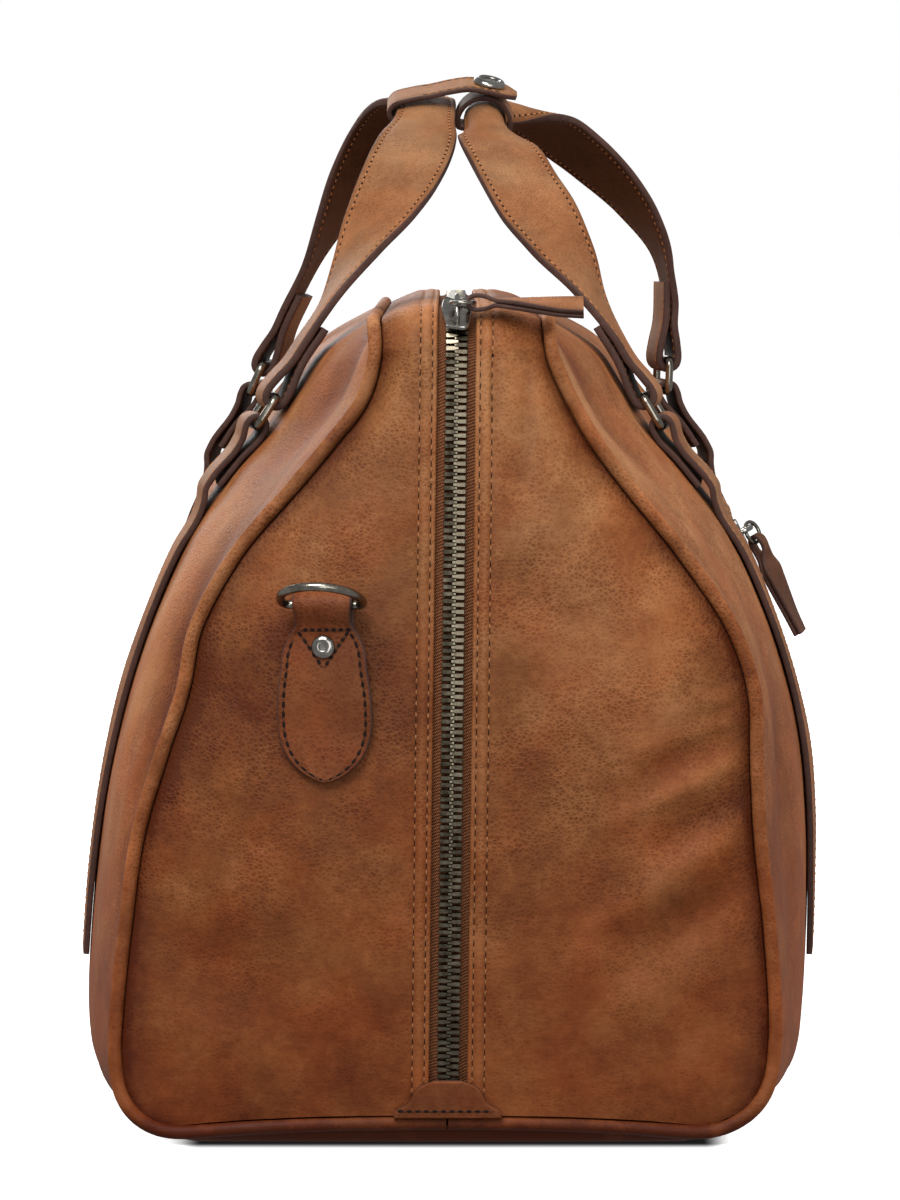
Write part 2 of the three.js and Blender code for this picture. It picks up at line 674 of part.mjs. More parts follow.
function handleRing(frame) {
  const { inner, wire, pitch, corner } = RING;
  const half = inner / 2 + wire;
  const points = [];
  const corners = [
    { x: half, z: pitch, from: 0 },
    { x: -half, z: pitch, from: 90 },
    { x: -half, z: 0, from: 180 },
    { x: half, z: 0, from: 270 },
  ];
  for (const { x, z, from } of corners) {
    for (const turn of [from, from + 45, from + 90]) {
      const [c, s] = [Math.cos(degToRad(turn)), Math.sin(degToRad(turn))];
      const centreX = x - Math.sign(x) * corner;
      const centreZ = z > 0 ? z - corner : corner;
      points.push(
        frame.bar
          .clone()
          .addScaledVector(frame.across, centreX + corner * c)
          .addScaledVector(frame.up, centreZ + corner * s),
      );
    }
  }
  return tube(points, wire, 6, frame.out);
}

function rivetHead() {
  const { radius, height } = RIVET;
  const profile = [
    [0, 0],
    [radius, 0],
    [radius, height * 0.4],
    [radius * 0.8, height * 0.8],
    [0, height],
  ].map(([r, h]) => new THREE.Vector2(r, h));
  return new THREE.LatheGeometry(profile, 12).rotateX(Math.PI / 2);
}

// Handles and their snap

const GRIP_PIVOT = vec(0, 0, GRIP_PIVOT_Z);
const tilted = (direction) => direction.clone().applyAxisAngle(vec(1, 0, 0), degToRad(GRIP_TILT));
const GRIP_ALONG = tilted(ALONG);
const gripPoint = (x, z) => tilted(vec(x, 0, z).sub(GRIP_PIVOT)).add(GRIP_PIVOT);

function handleFrame({ side, apexX, apexZ, lean }) {
  const turn = degToRad(lean);
  const face = tilted(vec(-side * Math.sin(turn), 0, Math.cos(turn)));
  return { apex: gripPoint(apexX, apexZ), face, across: GRIP_ALONG.clone().cross(face) };
}

// The strap end that folds round the ring's upper bar, from the tip of the fold-back to the leg.
function handleLoop(frame, across) {
  const radius = LOOP_INNER + STRAP.thick / 2;
  const flat = STRAP.thick / 2 + 0.15;
  const upper = frame.bar.clone().addScaledVector(frame.up, RING.pitch);
  const at = (rise, out) => ({
    place: upper.clone().addScaledVector(frame.up, rise).addScaledVector(frame.out, out),
    across,
    width: STRAP.width,
  });
  const turns = steps(5, Math.PI, 2 * Math.PI).map((a) => at(radius * Math.sin(a), radius * Math.cos(a)));
  return [
    at(FOLD_BACK, -flat),
    at(13, -flat - 0.1),
    at(6, -radius + 0.5),
    ...turns,
    at(6, radius - 0.5),
    at(13, flat + 0.1),
    at(22, flat),
  ];
}

// One leg of a handle from its ring to the grip, without the grip's middle.
function handleLeg(handle, endSign, loop, { frame, rise, reach, twist }) {
  const { apex, across } = handleFrame(handle);
  const foot = loop[loop.length - 1];
  const curve = new THREE.CubicBezierCurve3(
    foot.place,
    foot.place.clone().addScaledVector(frame.up, rise),
    apex.clone().addScaledVector(GRIP_ALONG, endSign * reach),
    apex,
  );
  return [0.13, 0.27, 0.41, 0.54, 0.66, 0.77, 0.86, 0.94].map((share) => {
    const place = curve.getPoint(share);
    const turn = (Math.PI / 2) * smoothstep(share, ...twist);
    const grip = 1 - smoothstep(Math.abs(place.y), GRIP_ZONE.from, GRIP_ZONE.to);
    return {
      place,
      across: foot.across
        .clone()
        .multiplyScalar(Math.cos(turn))
        .addScaledVector(across, Math.sin(turn)),
      width: lerp(STRAP.width, STRAP.grip, grip),
      curl: lerp(STRAP.flatCurl, handle.curl, grip),
    };
  });
}

function handleStrap(handle, legs) {
  const halves = legs.map((leg) => {
    const endSign = END_SIGN[leg.end];
    const across = leg.frame.across.clone().multiplyScalar(-endSign * handle.side);
    if (leg.frame.across.y < 0) across.negate();
    const loop = handleLoop(leg.frame, across);
    return [...loop, ...handleLeg(handle, endSign, loop, leg)];
  });
  const { apex, across } = handleFrame(handle);
  const grip = { place: apex, across, width: STRAP.grip, curl: handle.curl };
  return strap([...halves[0], grip, ...halves[1].reverse()], STRAP.thick, 4);
}

// The snap strap wraps the outer edge of the left handle and runs over to the right one.
function snapStrap() {
  const left = HANDLES[0];
  const { apex, face, across } = handleFrame(left);
  const bend = degToRad(left.curl);
  const radius = STRAP.grip / bend;
  const clear = STRAP.thick / 2 + 1.5 * GAP + SNAP.thick / 2;
  const round = (angle, lift) =>
    apex
      .clone()
      .addScaledVector(across, (radius + lift) * Math.sin(angle))
      .addScaledVector(face, (radius + lift) * Math.cos(angle) - radius);
  const edge = round(-bend / 2, 0);
  const under = steps(3, 0.1, -bend / 2).map((angle) => round(angle, -clear - GAP));
  const outward = round(-bend / 2, 1).sub(edge);
  const past = outward.clone().applyAxisAngle(GRIP_ALONG, -Math.PI / 2);
  if (past.x > 0) past.negate();
  const wrap = [-50, -10, 30, 65].map((turn) =>
    edge
      .clone()
      .addScaledVector(past, clear * Math.cos(degToRad(turn)))
      .addScaledVector(outward, clear * Math.sin(degToRad(turn))),
  );
  const run = SNAP_RUN.map(({ x, z }) => gripPoint(x, z));
  const path = [...under, ...wrap, ...run];
  const tip = path.length - 1;
  const stations = path.map((place, k) => ({
    place,
    across: GRIP_ALONG,
    width: k === tip ? SNAP.width * 0.45 : k === tip - 1 ? SNAP.width * 0.92 : SNAP.width,
  }));
  return strap(stations, SNAP.thick);
}

// Where the snap sits: on the strap's run, square to it.
function snapAxis() {
  const k = SNAP_RUN.length - 3;
  const [before, place, after] = SNAP_RUN.slice(k - 1, k + 2).map(({ x, z }) => gripPoint(x, z));
  const heading = after.sub(before).normalize();
  return { place, up: heading.clone().cross(GRIP_ALONG), heading };
}

function snapCap() {
  const { capRadius, capHeight } = SNAP;
  const profile = [
    [0, 0],
    [capRadius, 0],
    [capRadius, capHeight * 0.45],
    [capRadius * 0.86, capHeight * 0.8],
    [capRadius * 0.55, capHeight],
    [0, capHeight * 0.9],
  ].map(([r, h]) => new THREE.Vector2(r, h));
  const cap = new THREE.LatheGeometry(profile, 14).rotateX(Math.PI / 2);
  const { place, up, heading } = snapAxis();
  const lifted = place.addScaledVector(up, SNAP.thick / 2 + 0.3);
  return placed(cap, lifted, heading, up.clone().cross(heading), up);
}

// The keeper round the right handle's grip: a round back and a flat underside.
function snapLoop() {
  const right = HANDLES[1];
  const { apex, face, across } = handleFrame(right);
  const bend = degToRad(right.curl);
  const radius = STRAP.grip / bend;
  const inner = radius + STRAP.thick / 2 + SNAP_LOOP.gap;
  const floor = (radius - STRAP.thick / 2) * Math.cos(bend / 2) - SNAP_LOOP.gap;
  const outline = (reach, level, Form) => {
    const from = Math.PI / 2 - Math.acos(level / reach);
    const form = new Form();
    form.absarc(0, 0, reach, from, Math.PI - from);
    form.closePath();
    return form;
  };
  const shape = outline(inner + SNAP.thick, floor - SNAP.thick, THREE.Shape);
  shape.holes.push(outline(inner, floor, THREE.Path));
  const band = new THREE.ExtrudeGeometry(shape, {
    depth: SNAP_LOOP.width,
    bevelEnabled: false,
    curveSegments: 10,
  }).translate(0, 0, -SNAP_LOOP.width / 2);
  const centre = apex.clone().addScaledVector(face, -radius);
  return placed(band, centre, across, face, across.clone().cross(face));
}

// The socket and stud between the strap and the keeper.
function snapPost() {
  const right = HANDLES[1];
  const { apex, face } = handleFrame(right);
  const radius = STRAP.grip / degToRad(right.curl);
  const centre = apex.addScaledVector(face, -radius);
  const keeper = radius + STRAP.thick / 2 + SNAP_LOOP.gap + SNAP.thick;
  const { place, up, heading } = snapAxis();
  const top = place.addScaledVector(up, -SNAP.thick / 2 - 0.3);
  const height = top.clone().sub(centre).dot(up) - keeper - 0.3;
  const post = new THREE.CylinderGeometry(SNAP.postRadius, SNAP.postRadius, height, 12)
    .rotateX(Math.PI / 2)
    .translate(0, 0, -height / 2);
  return placed(post, top, heading, up.clone().cross(heading), up);
}

// Sliders and pulls, in a frame with x towards the pull, y along the zip and z off the leather

function slider() {
  const { length, width, thick, bridge, wire } = SLIDER;
  const outline = new THREE.Shape();
  outline.moveTo(-width / 2, length * 0.2);
  outline.lineTo(-width * 0.36, -length / 2);
  outline.lineTo(width * 0.36, -length / 2);
  outline.lineTo(width / 2, length * 0.2);
  outline.lineTo(width * 0.38, length / 2);
  outline.lineTo(-width * 0.38, length / 2);
  const plate = new THREE.ExtrudeGeometry(outline, { depth: thick, bevelEnabled: false });
  const reach = length * 0.34;
  const arch = [
    vec(0, -reach, thick / 2),
    vec(0, -reach, bridge * 0.7),
    vec(0, -reach * 0.72, bridge),
    vec(0, reach * 0.72, bridge),
    vec(0, reach, bridge * 0.7),
    vec(0, reach, thick / 2),
  ];
  return asGeometry(asSolid(plate).add(asSolid(tube(arch, wire, 6))));
}

function pullLink({ tilt }) {
  const [c, s] = [Math.cos(degToRad(tilt)), Math.sin(degToRad(tilt))];
  const points = steps(11, 0, 2 * Math.PI * (11 / 12)).map((angle) =>
    vec(
      LINK.reach + LINK.radius * Math.cos(angle),
      LINK.radius * Math.sin(angle) * c,
      SLIDER.bridge + LINK.radius * Math.sin(angle) * s,
    ),
  );
  return tube(points, LINK.wire, 5, vec(0, -s, c));
}

// A strip folded round the link: down its length, round the wire and back. It turns from the link's tilt to
// its own at the tip, and droop is how far the tip falls.
function leatherPull({ tilt, tipTilt, droop }) {
  const tilted = (down) => {
    const turn = degToRad(lerp(tilt, tipTilt, smoothstep(down, 4, PULL.length)));
    return vec(0, Math.cos(turn), Math.sin(turn));
  };
  const radius = LINK.wire + PULL.play + PULL.thick / 2;
  const flat = PULL.thick / 2 + 0.15;
  const start = LINK.reach + LINK.radius;
  const at = (down, lift) => {
    const across = tilted(down);
    const off = vec(0, -across.z, across.y);
    const fall = droop * smoothstep(down, 0, PULL.length);
    return {
      place: vec(start + down, 0, SLIDER.bridge - fall).addScaledVector(off, lift),
      across,
      width: lerp(PULL.neck, PULL.width, smoothstep(down, 3, 11)),
    };
  };
  const downs = [PULL.length, 22, 11, 7, 3.5];
  const angles = steps(4, -Math.PI / 2, -1.5 * Math.PI);
  const turn = angles.map((angle) => at(radius * Math.cos(angle), radius * Math.sin(angle)));
  return strap(
    [
      ...downs.map((down) => at(down, down < 4 ? -radius * 0.9 : -flat)),
      ...turn,
      ...downs.reverse().map((down) => at(down, down < 4 ? radius * 0.9 : flat)),
    ],
    PULL.thick,
  );
}

// Pocket on the right side

// A point on the right panel at a distance along the pocket and up from its zip.
function pocketAt(along, up) {
  const rise = 0.86;
  return sideAt(1, along, POCKET.z + up * rise);
}

const pocketGrid = (half, low, high) =>
  steps(8, -half, half).map((along) => [low, high].map((up) => pocketAt(along, up)));

// The slider's frame on the pocket: the pull hangs down, and the zip runs along the panel.
function pocketFrame(along) {
  const y = pocketAt(along + 1, 0).sub(pocketAt(along - 1, 0)).normalize();
  const rise = pocketAt(along, 1).sub(pocketAt(along, -1));
  const x = rise.addScaledVector(y, -rise.dot(y)).normalize().negate();
  return { place: pocketAt(along, 0), x, y, z: x.clone().cross(y) };
}

function pocketedPanel() {
  const { place, x, y, z } = pocketFrame(0);
  const cutter = new THREE.BoxGeometry(POCKET.slot, 2 * POCKET.half, 40);
  return asGeometry(asSolid(sidePanel(1)).subtract(asSolid(placed(cutter, place, x, y, z))));
}

// The slider's frame on the zip's bend at the near end: the pull lies to the right.
function topFrame() {
  const [before, { zip }, after] = GUSSET_ROWS.get(1).slice(LAST_ROW, LAST_ROW + 3);
  const x = vec(1, 0, 0);
  const z = x.clone().cross(after.zip.clone().sub(before.zip)).normalize();
  return { place: vec(zipX(zip.z), zip.y, zip.z), x, y: z.clone().cross(x), z };
}

// Assembly

const bag = new THREE.Group();

function piece(name, geometry, finish) {
  const mesh = new THREE.Mesh(geometry, new THREE.MeshStandardMaterial(FINISHES[finish]));
  mesh.name = name;
  bag.add(mesh);
  return mesh;
}

piece("side_panel_left", sidePanel(-1), "panel_leather");
piece("side_panel_right", pocketedPanel(), "panel_leather");
piece("gusset_left", gusset(-1), "panel_leather");
piece("gusset_right", gusset(1), "panel_leather");
piece("bottom_panel", bottomPanel(), "panel_leather");
piece("piping_left", piping(-1), "piping_leather");
piece("piping_right", piping(1), "piping_leather");
piece("zip_tape", zipBand(TAPE), "zip_tape");
piece("zip_chain", zipBand(CHAIN), "zip_metal");

for (const end of ["near", "far"]) {
  piece("zip_patch_" + end, zipPatch(end), "strap_leather");
  const run = endRun(end);
  piece("ring_tab_" + end, dRingTab(run), "strap_leather");
  const bar = run.at(0);
  const rise = degToRad(D_RING.rise);
  const stand = bar.out.clone().multiplyScalar(Math.cos(rise)).addScaledVector(bar.up, Math.sin(rise));
  const ring = piece("d_ring_" + end, dRing(), "ring_metal");
  ring.position.copy(barCentre(run, D_TAB.thick));
  ring.quaternion.setFromRotationMatrix(
    new THREE.Matrix4().makeBasis(bar.across, stand.clone().cross(bar.across), stand),
  );
  const seat = run.at(D_TAB.rivetDown);
  const rivet = piece("rivet_" + end, rivetHead(), "snap_metal");
  rivet.position.copy(seat.place).addScaledVector(seat.out, TAB_GAP + 2 * D_TAB.thick + 0.6);
  rivet.quaternion.setFromUnitVectors(UP, seat.out);
}

for (const handle of HANDLES) {
  const legs = HANDLE_ENDS.filter((row) => row.handle === handle.name).map((row) => ({
    ...row,
    frame: ringFrame(handle.side, row.end, row.lean),
  }));
  for (const { end, frame } of legs) {
    piece(`handle_tab_${handle.name}_${end}`, handleTab(handle.side, end), "strap_leather");
    piece(`handle_ring_${handle.name}_${end}`, handleRing(frame), "ring_metal");
  }
  piece("handle_" + handle.name, handleStrap(handle, legs), "strap_leather");
}

piece("snap_strap", snapStrap(), "strap_leather");
piece("snap_cap", snapCap(), "snap_metal");
piece("snap_loop", snapLoop(), "strap_leather");
piece("snap_post", snapPost(), "snap_metal");

const pocketTape = pocketGrid(POCKET.half + 4, -POCKET.tape, POCKET.tape);
const pocketChain = pocketGrid(POCKET.half - 2, -POCKET.chain, POCKET.chain);
const pocketWelt = pocketGrid(WELT.half, WELT.from, WELT.to);
piece("pocket_zip_tape", wallAtDepth(pocketTape, 3.2, 4), "zip_tape");
piece("pocket_zip_chain", wallAtDepth(pocketChain, 0.5, 2.2), "zip_metal");
piece("pocket_welt", wallAtDepth(pocketWelt, -GAP - WELT.thick, -GAP), "strap_leather");

const SLIDERS = [
  {
    names: ["zip_slider", "zip_pull_link", "zip_pull"],
    frame: topFrame(),
    hang: { tilt: -34, tipTilt: -7, droop: 2 },
  },
  {
    names: ["pocket_zip_slider", "pocket_pull_link", "pocket_zip_pull"],
    frame: pocketFrame(POCKET.slider),
    hang: { tilt: 34, tipTilt: 10, droop: 1 },
  },
];
for (const { names, frame, hang } of SLIDERS) {
  const place = frame.place.clone().addScaledVector(frame.z, GAP);
  const parts = [slider(), pullLink(hang), leatherPull(hang)];
  const finishes = ["zip_metal", "ring_metal", "strap_leather"];
  names.forEach((name, k) => piece(name, placed(parts[k], place, frame.x, frame.y, frame.z), finishes[k]));
}

export default bag;
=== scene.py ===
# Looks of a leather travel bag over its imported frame: panels, piping, zips, straps, rings, stitches.
# Tables are in millimetres in the frame's axes: +X right, +Y away from the viewer, +Z up. Near is -Y.
import json
import math

import bpy
import numpy as np
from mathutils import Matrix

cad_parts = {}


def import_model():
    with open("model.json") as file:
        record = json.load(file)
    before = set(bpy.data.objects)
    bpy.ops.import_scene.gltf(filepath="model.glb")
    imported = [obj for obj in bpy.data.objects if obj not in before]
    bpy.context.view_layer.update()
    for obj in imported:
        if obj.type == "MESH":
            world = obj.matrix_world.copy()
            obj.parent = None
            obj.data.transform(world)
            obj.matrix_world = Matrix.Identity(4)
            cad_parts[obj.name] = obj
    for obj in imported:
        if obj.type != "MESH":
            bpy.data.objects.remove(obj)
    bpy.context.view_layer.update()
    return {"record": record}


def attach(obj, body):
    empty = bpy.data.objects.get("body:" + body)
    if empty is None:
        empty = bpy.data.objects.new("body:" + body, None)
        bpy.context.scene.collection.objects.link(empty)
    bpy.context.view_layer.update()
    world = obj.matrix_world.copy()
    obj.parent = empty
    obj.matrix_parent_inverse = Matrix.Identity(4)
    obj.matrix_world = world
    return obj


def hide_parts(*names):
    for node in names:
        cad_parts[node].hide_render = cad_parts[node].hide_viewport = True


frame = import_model()

MM = 0.001


def table(columns, *rows):
    """Rows with named columns."""
    return [dict(zip(columns.split(), row)) for row in rows]


# Leather, cord and clearances
WALL = 2.0
GAP = 0.4
PIPING_RADIUS = 2.4
SEAM_INSET = PIPING_RADIUS + 0.6

# Body of the bag
HALF_LENGTH = 216
END_LEAN = 12
TOP_SEAM_Z = 281
TOP_ZIP_Z = 286.5
CORNER_RADIUS = 12
BEND_Z = TOP_SEAM_Z - CORNER_RADIUS
ZIP_BEND = 20
ZIP_HALF_GAP = 6.5
ZIP_SWAY = 1.7
CROWN_POWER = 2.4
FLOOR_ARCH = 4.5
# How much higher than the seam the zip edge starts, and in how many sections that ends
ZIP_FOOT = {"rise": FLOOR_ARCH + 3.5 * GAP, "rows": 2}
ROOF_FROM = 190
ROOF_TO = 250
ROOF_TURN = 0.9
BAG_MIDDLE = np.array([0, 0, 120.0])

# Half width at each height, left and right: at the end seams, and at mid-length
SECTIONS = table(
    "z left right mid_left mid_right",
    (3.4, 98, 88.5, 121, 113),
    (8, 107.5, 99, 127.5, 120),
    (15, 113, 106.5, 131.5, 125.5),
    (26, 115.4, 109.8, 133.8, 128.5),
    (46, 114.7, 110.4, 133.8, 130.3),
    (75, 111.6, 108.4, 132, 131.5),
    (105, 107.5, 105.2, 128.5, 131.8),
    (132, 99.7, 103.9, 123.8, 129),
    (155, 92, 103, 118, 122.5),
    (178, 87, 95, 109, 114.5),
    (203, 73, 78, 98, 104),
    (224, 55, 61, 84.5, 89),
    (240, 41.5, 49, 70, 74.5),
    (254, 31, 41, 60.5, 65.5),
    (BEND_Z, 26.5, 34.5, 48.5, 54.5),
    (TOP_SEAM_Z, 27, 33, 27, 33),
)
LAST_ROW = len(SECTIONS) - 1
SIDE_COLUMNS = {-1: ("left", "mid_left"), 1: ("right", "mid_right")}
SIDE_NAMES = {-1: "left", 1: "right"}
END_SIGNS = {"near": -1, "far": 1}
END_CROWN = {"floor": 3, "bend": 8, "middle": 10}

# Dents and folds of the panels: place along and up, height, reach along and across, and turn from level
FOLD = "side along z height length width turn"
SIDE_FOLDS = table(
    FOLD,
    (-1, -188, 160, -4.5, 60, 13, 80),
    (-1, -152, 150, 3, 60, 16, 78),
    (-1, -158, 258, -5, 26, 18, 90),
    (1, -160, 256, -4.5, 26, 18, 90),
    (1, -160, 120, -3, 55, 16, 84),
    (1, 150, 140, -3.5, 60, 18, 96),
    (-1, 150, 150, -5, 60, 20, 98),
    (-1, 95, 236, 8, 40, 34, 0),
    (1, 95, 236, 9, 40, 34, 0),
)
END_FOLDS = table(
    FOLD,
    (1, 84, 95, 2.6, 22, 8, 34),
    (1, 80, 78, -2.4, 24, 9, 34),
    (1, 23, 248, -2.2, 26, 6.5, 90),
    (-1, 62, 205, -2, 30, 14, 130),
    (-1, 70, 60, -2, 32, 20, 20),
)
# Finer creases that only the surface shows
SIDE_CREASES = table(
    FOLD,
    (-1, -196, 205, -0.8, 30, 4, 60),
    (-1, -178, 118, 0.9, 34, 6, 82),
    (-1, -120, 262, 0.7, 20, 5, 70),
    (1, -186, 190, -0.8, 30, 5, 110),
    (1, -150, 236, 0.8, 24, 5, 120),
    (1, 20, 90, -0.9, 60, 12, 12),
    (-1, 10, 84, -0.9, 60, 12, -10),
    (-1, 60, 160, 0.8, 44, 9, 24),
    (1, -40, 140, 0.8, 46, 9, -20),
)
END_CREASES = table(
    FOLD,
    (1, 79, 134, -1.8, 22, 5, 23),
    (1, 81, 124, 2.0, 22, 3.8, 25),
    (1, 88, 113.5, -1.8, 18, 4.2, 28),
    (1, 86, 102, 1.6, 17, 3.8, 31),
    (1, 91, 144, 0.5, 12, 2.2, 20),
    (1, 91, 148.5, -0.5, 13, 2.2, 19),
    (1, 90, 153, 0.5, 13, 2.2, 17),
    (1, 89, 157.5, -0.5, 12, 2.2, 15),
    (1, 62, 84, 0.7, 16, 4, 28),
    (1, 96, 62, 0.6, 16, 5, 20),
    (1, 14, 258, -1.1, 18, 2.4, 92),
    (1, 20, 256, 0.9, 18, 2.8, 94),
    (1, 29, 255, 0.9, 18, 3, 88),
    (-1, 14.5, 262, -0.7, 12, 1.8, 86),
    (-1, 19, 257, 0.7, 14, 2.2, 116),
    (-1, 23, 252, -0.7, 14, 2.2, 122),
    (-1, 28, 246, 0.7, 14, 2.4, 124),
    (-1, 33, 241, -0.7, 14, 2.4, 124),
    (-1, 40, 232, 0.6, 18, 5, 128),
    (-1, 84, 120, -0.6, 24, 6, 60),
    (-1, 90, 40, 0.6, 26, 7, 12),
    (1, 40, 40, -0.5, 30, 9, 5),
)
# Broad painted light and painted shade on the panels, where they are lit or shaded: the height is how
# much paler or darker the leather is painted there
END_PAINTED_LIGHT_AND_SHADE = table(
    FOLD,
    (-1, 70, 168, -0.32, 58, 19, 0),
    (-1, 66, 138, -0.32, 60, 24, 0),
    (-1, 14, 262, 0.1, 26, 22, 0),
    (1, 14, 262, 0.1, 26, 22, 0),
    (1, 55, 160, 0.08, 30, 24, 0),
)
SIDE_PAINTED_LIGHT_AND_SHADE = table(
    FOLD,
    (1, -190, 250, 0.3, 40, 26, 0),
    (-1, -190, 250, 0.1, 40, 26, 0),
    (-1, -198, 165, -0.3, 26, 40, 0),
    (-1, -140, 170, 0.1, 30, 50, 0),
)
SURFACE_WAVES = table("length height seed", (95, 0.75, 3), (34, 0.22, 11), (13, 0.07, 23))
# The last two side folds lift the leather under the far handle rings and get no painted shade of their
# own
PAINT_SHADED_FOLDS = SIDE_FOLDS[:-2]
# Powers with which folds, creases and swell fade towards a panel's edges
FADE = {"side_folds": 16, "side_creases": 20, "end_folds": 12, "end_creases": 10}
# Painted light and shade from height: how much paler a millimetre of height paints the leather, so
# ridges are painted lighter and hollows darker
PAINTED_SHADE_BY_HEIGHT = {"side_fold": 0.07, "end_fold": 0.05, "crease": 0.1, "swell": 0.07}
# Where tabs press the creases flat: by how much, and half the length or width of the place
UNDER_HANDLE_TAB = {"calm": 0.8, "half": 22}
UNDER_D_TAB = {"calm": 0.85, "half": 18, "z": 158, "half_height": 36}
# Distances from the zip between which swell and creases set in
ZIP_CALM = {"swell": (4, 16), "crease": (1, 7)}

# Fineness of the panels
SIDE_STEPS = 160
SIDE_ROWS_PER_MM = 0.36
GUSSET_STEPS = {"end": 170, "bend": 16, "top": 60}
# Places at which a line is measured, and halvings in a search
DENSE = 1500
HALVINGS = 30

# How a panel's edge rolls in beside the piping: onward from the edge, and down from the face
SEAM_ROLL = table("onward down", (0.45, 0.35), (0.7, 1.2), (0.75, 3.5))
SEAM_FOLDED = 1.2
SEAM_SHADE = {"depth": 0.42, "reach": 4.5}
SEAM_SHADE_Z = 3

# Bottom: how far in from the piping it is down on the floor, along and across, its grid, and its tone,
# which is painted shade under the bag
BOTTOM = {"lift": 5, "flat": 0.86, "steps": (64, 48), "tone": -0.45}
BOTTOM_SLANT = np.array([0.0046, 0.0024, 0])

# Piping: points of its line along the foot, up the end, round the bend and along the top
CORD_POINTS = {"foot": 60, "up": 260, "bend": 14, "top": 90}
CORD_FOOT = (0.004, 0.97)
CORD_TOP = (0.98, 0)
CORD_STEP = 1.5
# Steps of the cord either side of a floor corner that are rounded, and how often
CORNER_STEPS = (16, 30)
CORNER_PASSES = 16
# Swell and tone of the cord, and how much painted shade darkens it near the floor
CORD_SWELL = {"share": 0.035, "length": 16, "seed": 5}
CORD_TONE_AND_PAINTED_SHADE = {"lift": 0.05, "wave": 0.08, "length": 9, "seed": 8, "floor": 0.55, "from": 4, "to": 15}

# Main zip
TAPE = {"half": 10.2, "top": 2.6, "bottom": 3.4, "columns": 24}
TAPE_BEAD = {"at": 3.6, "rise": 0.9, "reach": 0.9}
ZIP_MARGIN = 3
TOOTH_PITCH = 2.4
TOOTH = table(
    "x half top bottom",
    (-0.8, 0.3, 0.5, 1.7),
    (-0.62, 0.5, 0.2, 2.0),
    (0.5, 0.55, 0.14, 2.1),
    (0.95, 0.8, 0.34, 2.2),
    (3.35, 0.88, 0.34, 2.2),
    (3.72, 0.78, 0.5, 2.15),
    (3.85, 0.5, 0.85, 1.9),
)
TOOTH_REACH = TOOTH[-1]["x"]
TOOTH_CORNERS = [(-1, 0.6), (-0.8, 1), (0.8, 1), (1, 0.6)]
# Where the right and the left column's first tooth is, in pitches
TOOTH_OFFSETS = {1: 0.25, -1: 0.75}
STITCH_PITCH = 3.8
ZIP_STITCHES = (1.7, 5.8)
ZIP_EDGE_ROUND = 1.0
# Relief of the gusset beside the zip: distance from its edge, height and reach
ZIP_RELIEF = table(
    "place height reach", (1.7, -0.32, 0.45), (3.75, 0.25, 1.3), (5.8, -0.32, 0.45), (8.6, 0.35, 2.2)
)
# Painted highlight along the zip's rounded edge and the raised band between its stitch rows: place from
# the edge, tone and reach
ZIP_PAINTED_HIGHLIGHT = table("place tone reach", (0.8, 0.18, 0.8), (3.75, 0.16, 1.2))
ZIP_PATCH = {"thick": 2.2, "lift": 0.6, "stitch": 2.4, "pitch": 3.0, "points": 24}
# How a patch drops at its rim, one step in, and from there on
PAD_DROP = (1.0, 0.25, 0.0)
# Rows and columns of the patch, and extra ones close to its rim
PATCH_STEPS = {"rows": 26, "columns": 31, "rim_z": 0.25, "rim_share": 0.985}
ZIP_PATCH_OUTLINE = table(
    "z half", (10.2, 18.4), (12.6, 18), (15.2, 13.8), (18.5, 11.8), (21.4, 9.2), (23.2, 4.5)
)

# Handles: strap, rectangular rings and the tabs that hold them
STRAP = {"width": 30, "grip": 22, "thick": 3.2, "pressed": 2.7, "flat_curl": 10, "stitch": 2.5}
RING = {"wire": 1.5, "inner": 32, "pitch": 12.4, "corner": 3}
LOOP_INNER = 2
TAB_GAP = 0.6
HANDLE_Y = 95
RING_Z = 238
TAB = {"width": 30, "thick": 3, "pressed": 2.2, "fold": 24, "settle": 10, "end": 52}
# Rise of the strap's loop round a ring: where its folded end stops and where the leg starts
FOLD_BACK = 30
LEG_FROM = 22
# Where the loop is drawn together above the ring: height, what it is measured from, and more
LOOP_PINCH = table("rise measure more", (13, "flat", 0.1), (6, "radius", -0.5))
LOOP_REST = 0.15
LOOP_TURNS = 9
# Places down a looped tab: on the loop, from the fold on, and where it has come down from the bar
TAB_DOWNS = (3, 6.5, 10)
TAB_AFTER_FOLD = (0, 4, 8, 12)
TAB_OFF_BAR = 10
TAB_REST = 0.3
TAB_EASE = 2
TAB_RUN = {"from": 28, "count": 7, "stitch_from": 0.22}
# Shares of the way up a leg at which the strap has stations
LEG_SHARES = (0.13, 0.27, 0.41, 0.54, 0.66, 0.77, 0.86, 0.94)
# How deep the thread lies under a strap's face
THREAD_DEPTH = {"handle": 0.2, "tab": 0.14, "snap": 0.06, "d_tab": 0.08, "d_seams": -0.02}
# The grips and the snap slope down to the near end, about a level line across the bag
GRIP_TILT = 16
GRIP_PIVOT = np.array([0, 0, 358.0])
HANDLES = table(
    "name side apex_x apex_z lean curl",
    ("left", -1, -9.5, 358.5, 0, 34),
    ("right", 1, 13, 358, -10, 200),
)
GRIP_ZONE = (12, 40)
HANDLE_ENDS = table(
    "handle end lean rise reach twist",
    ("left", "near", 8, 50, 48, (0.08, 0.66)),
    ("left", "far", 18, 60, 46, (0.08, 0.66)),
    ("right", "near", 9, 54, 48, (0.02, 0.44)),
    ("right", "far", 44, 44, 40, (0.08, 0.66)),
)

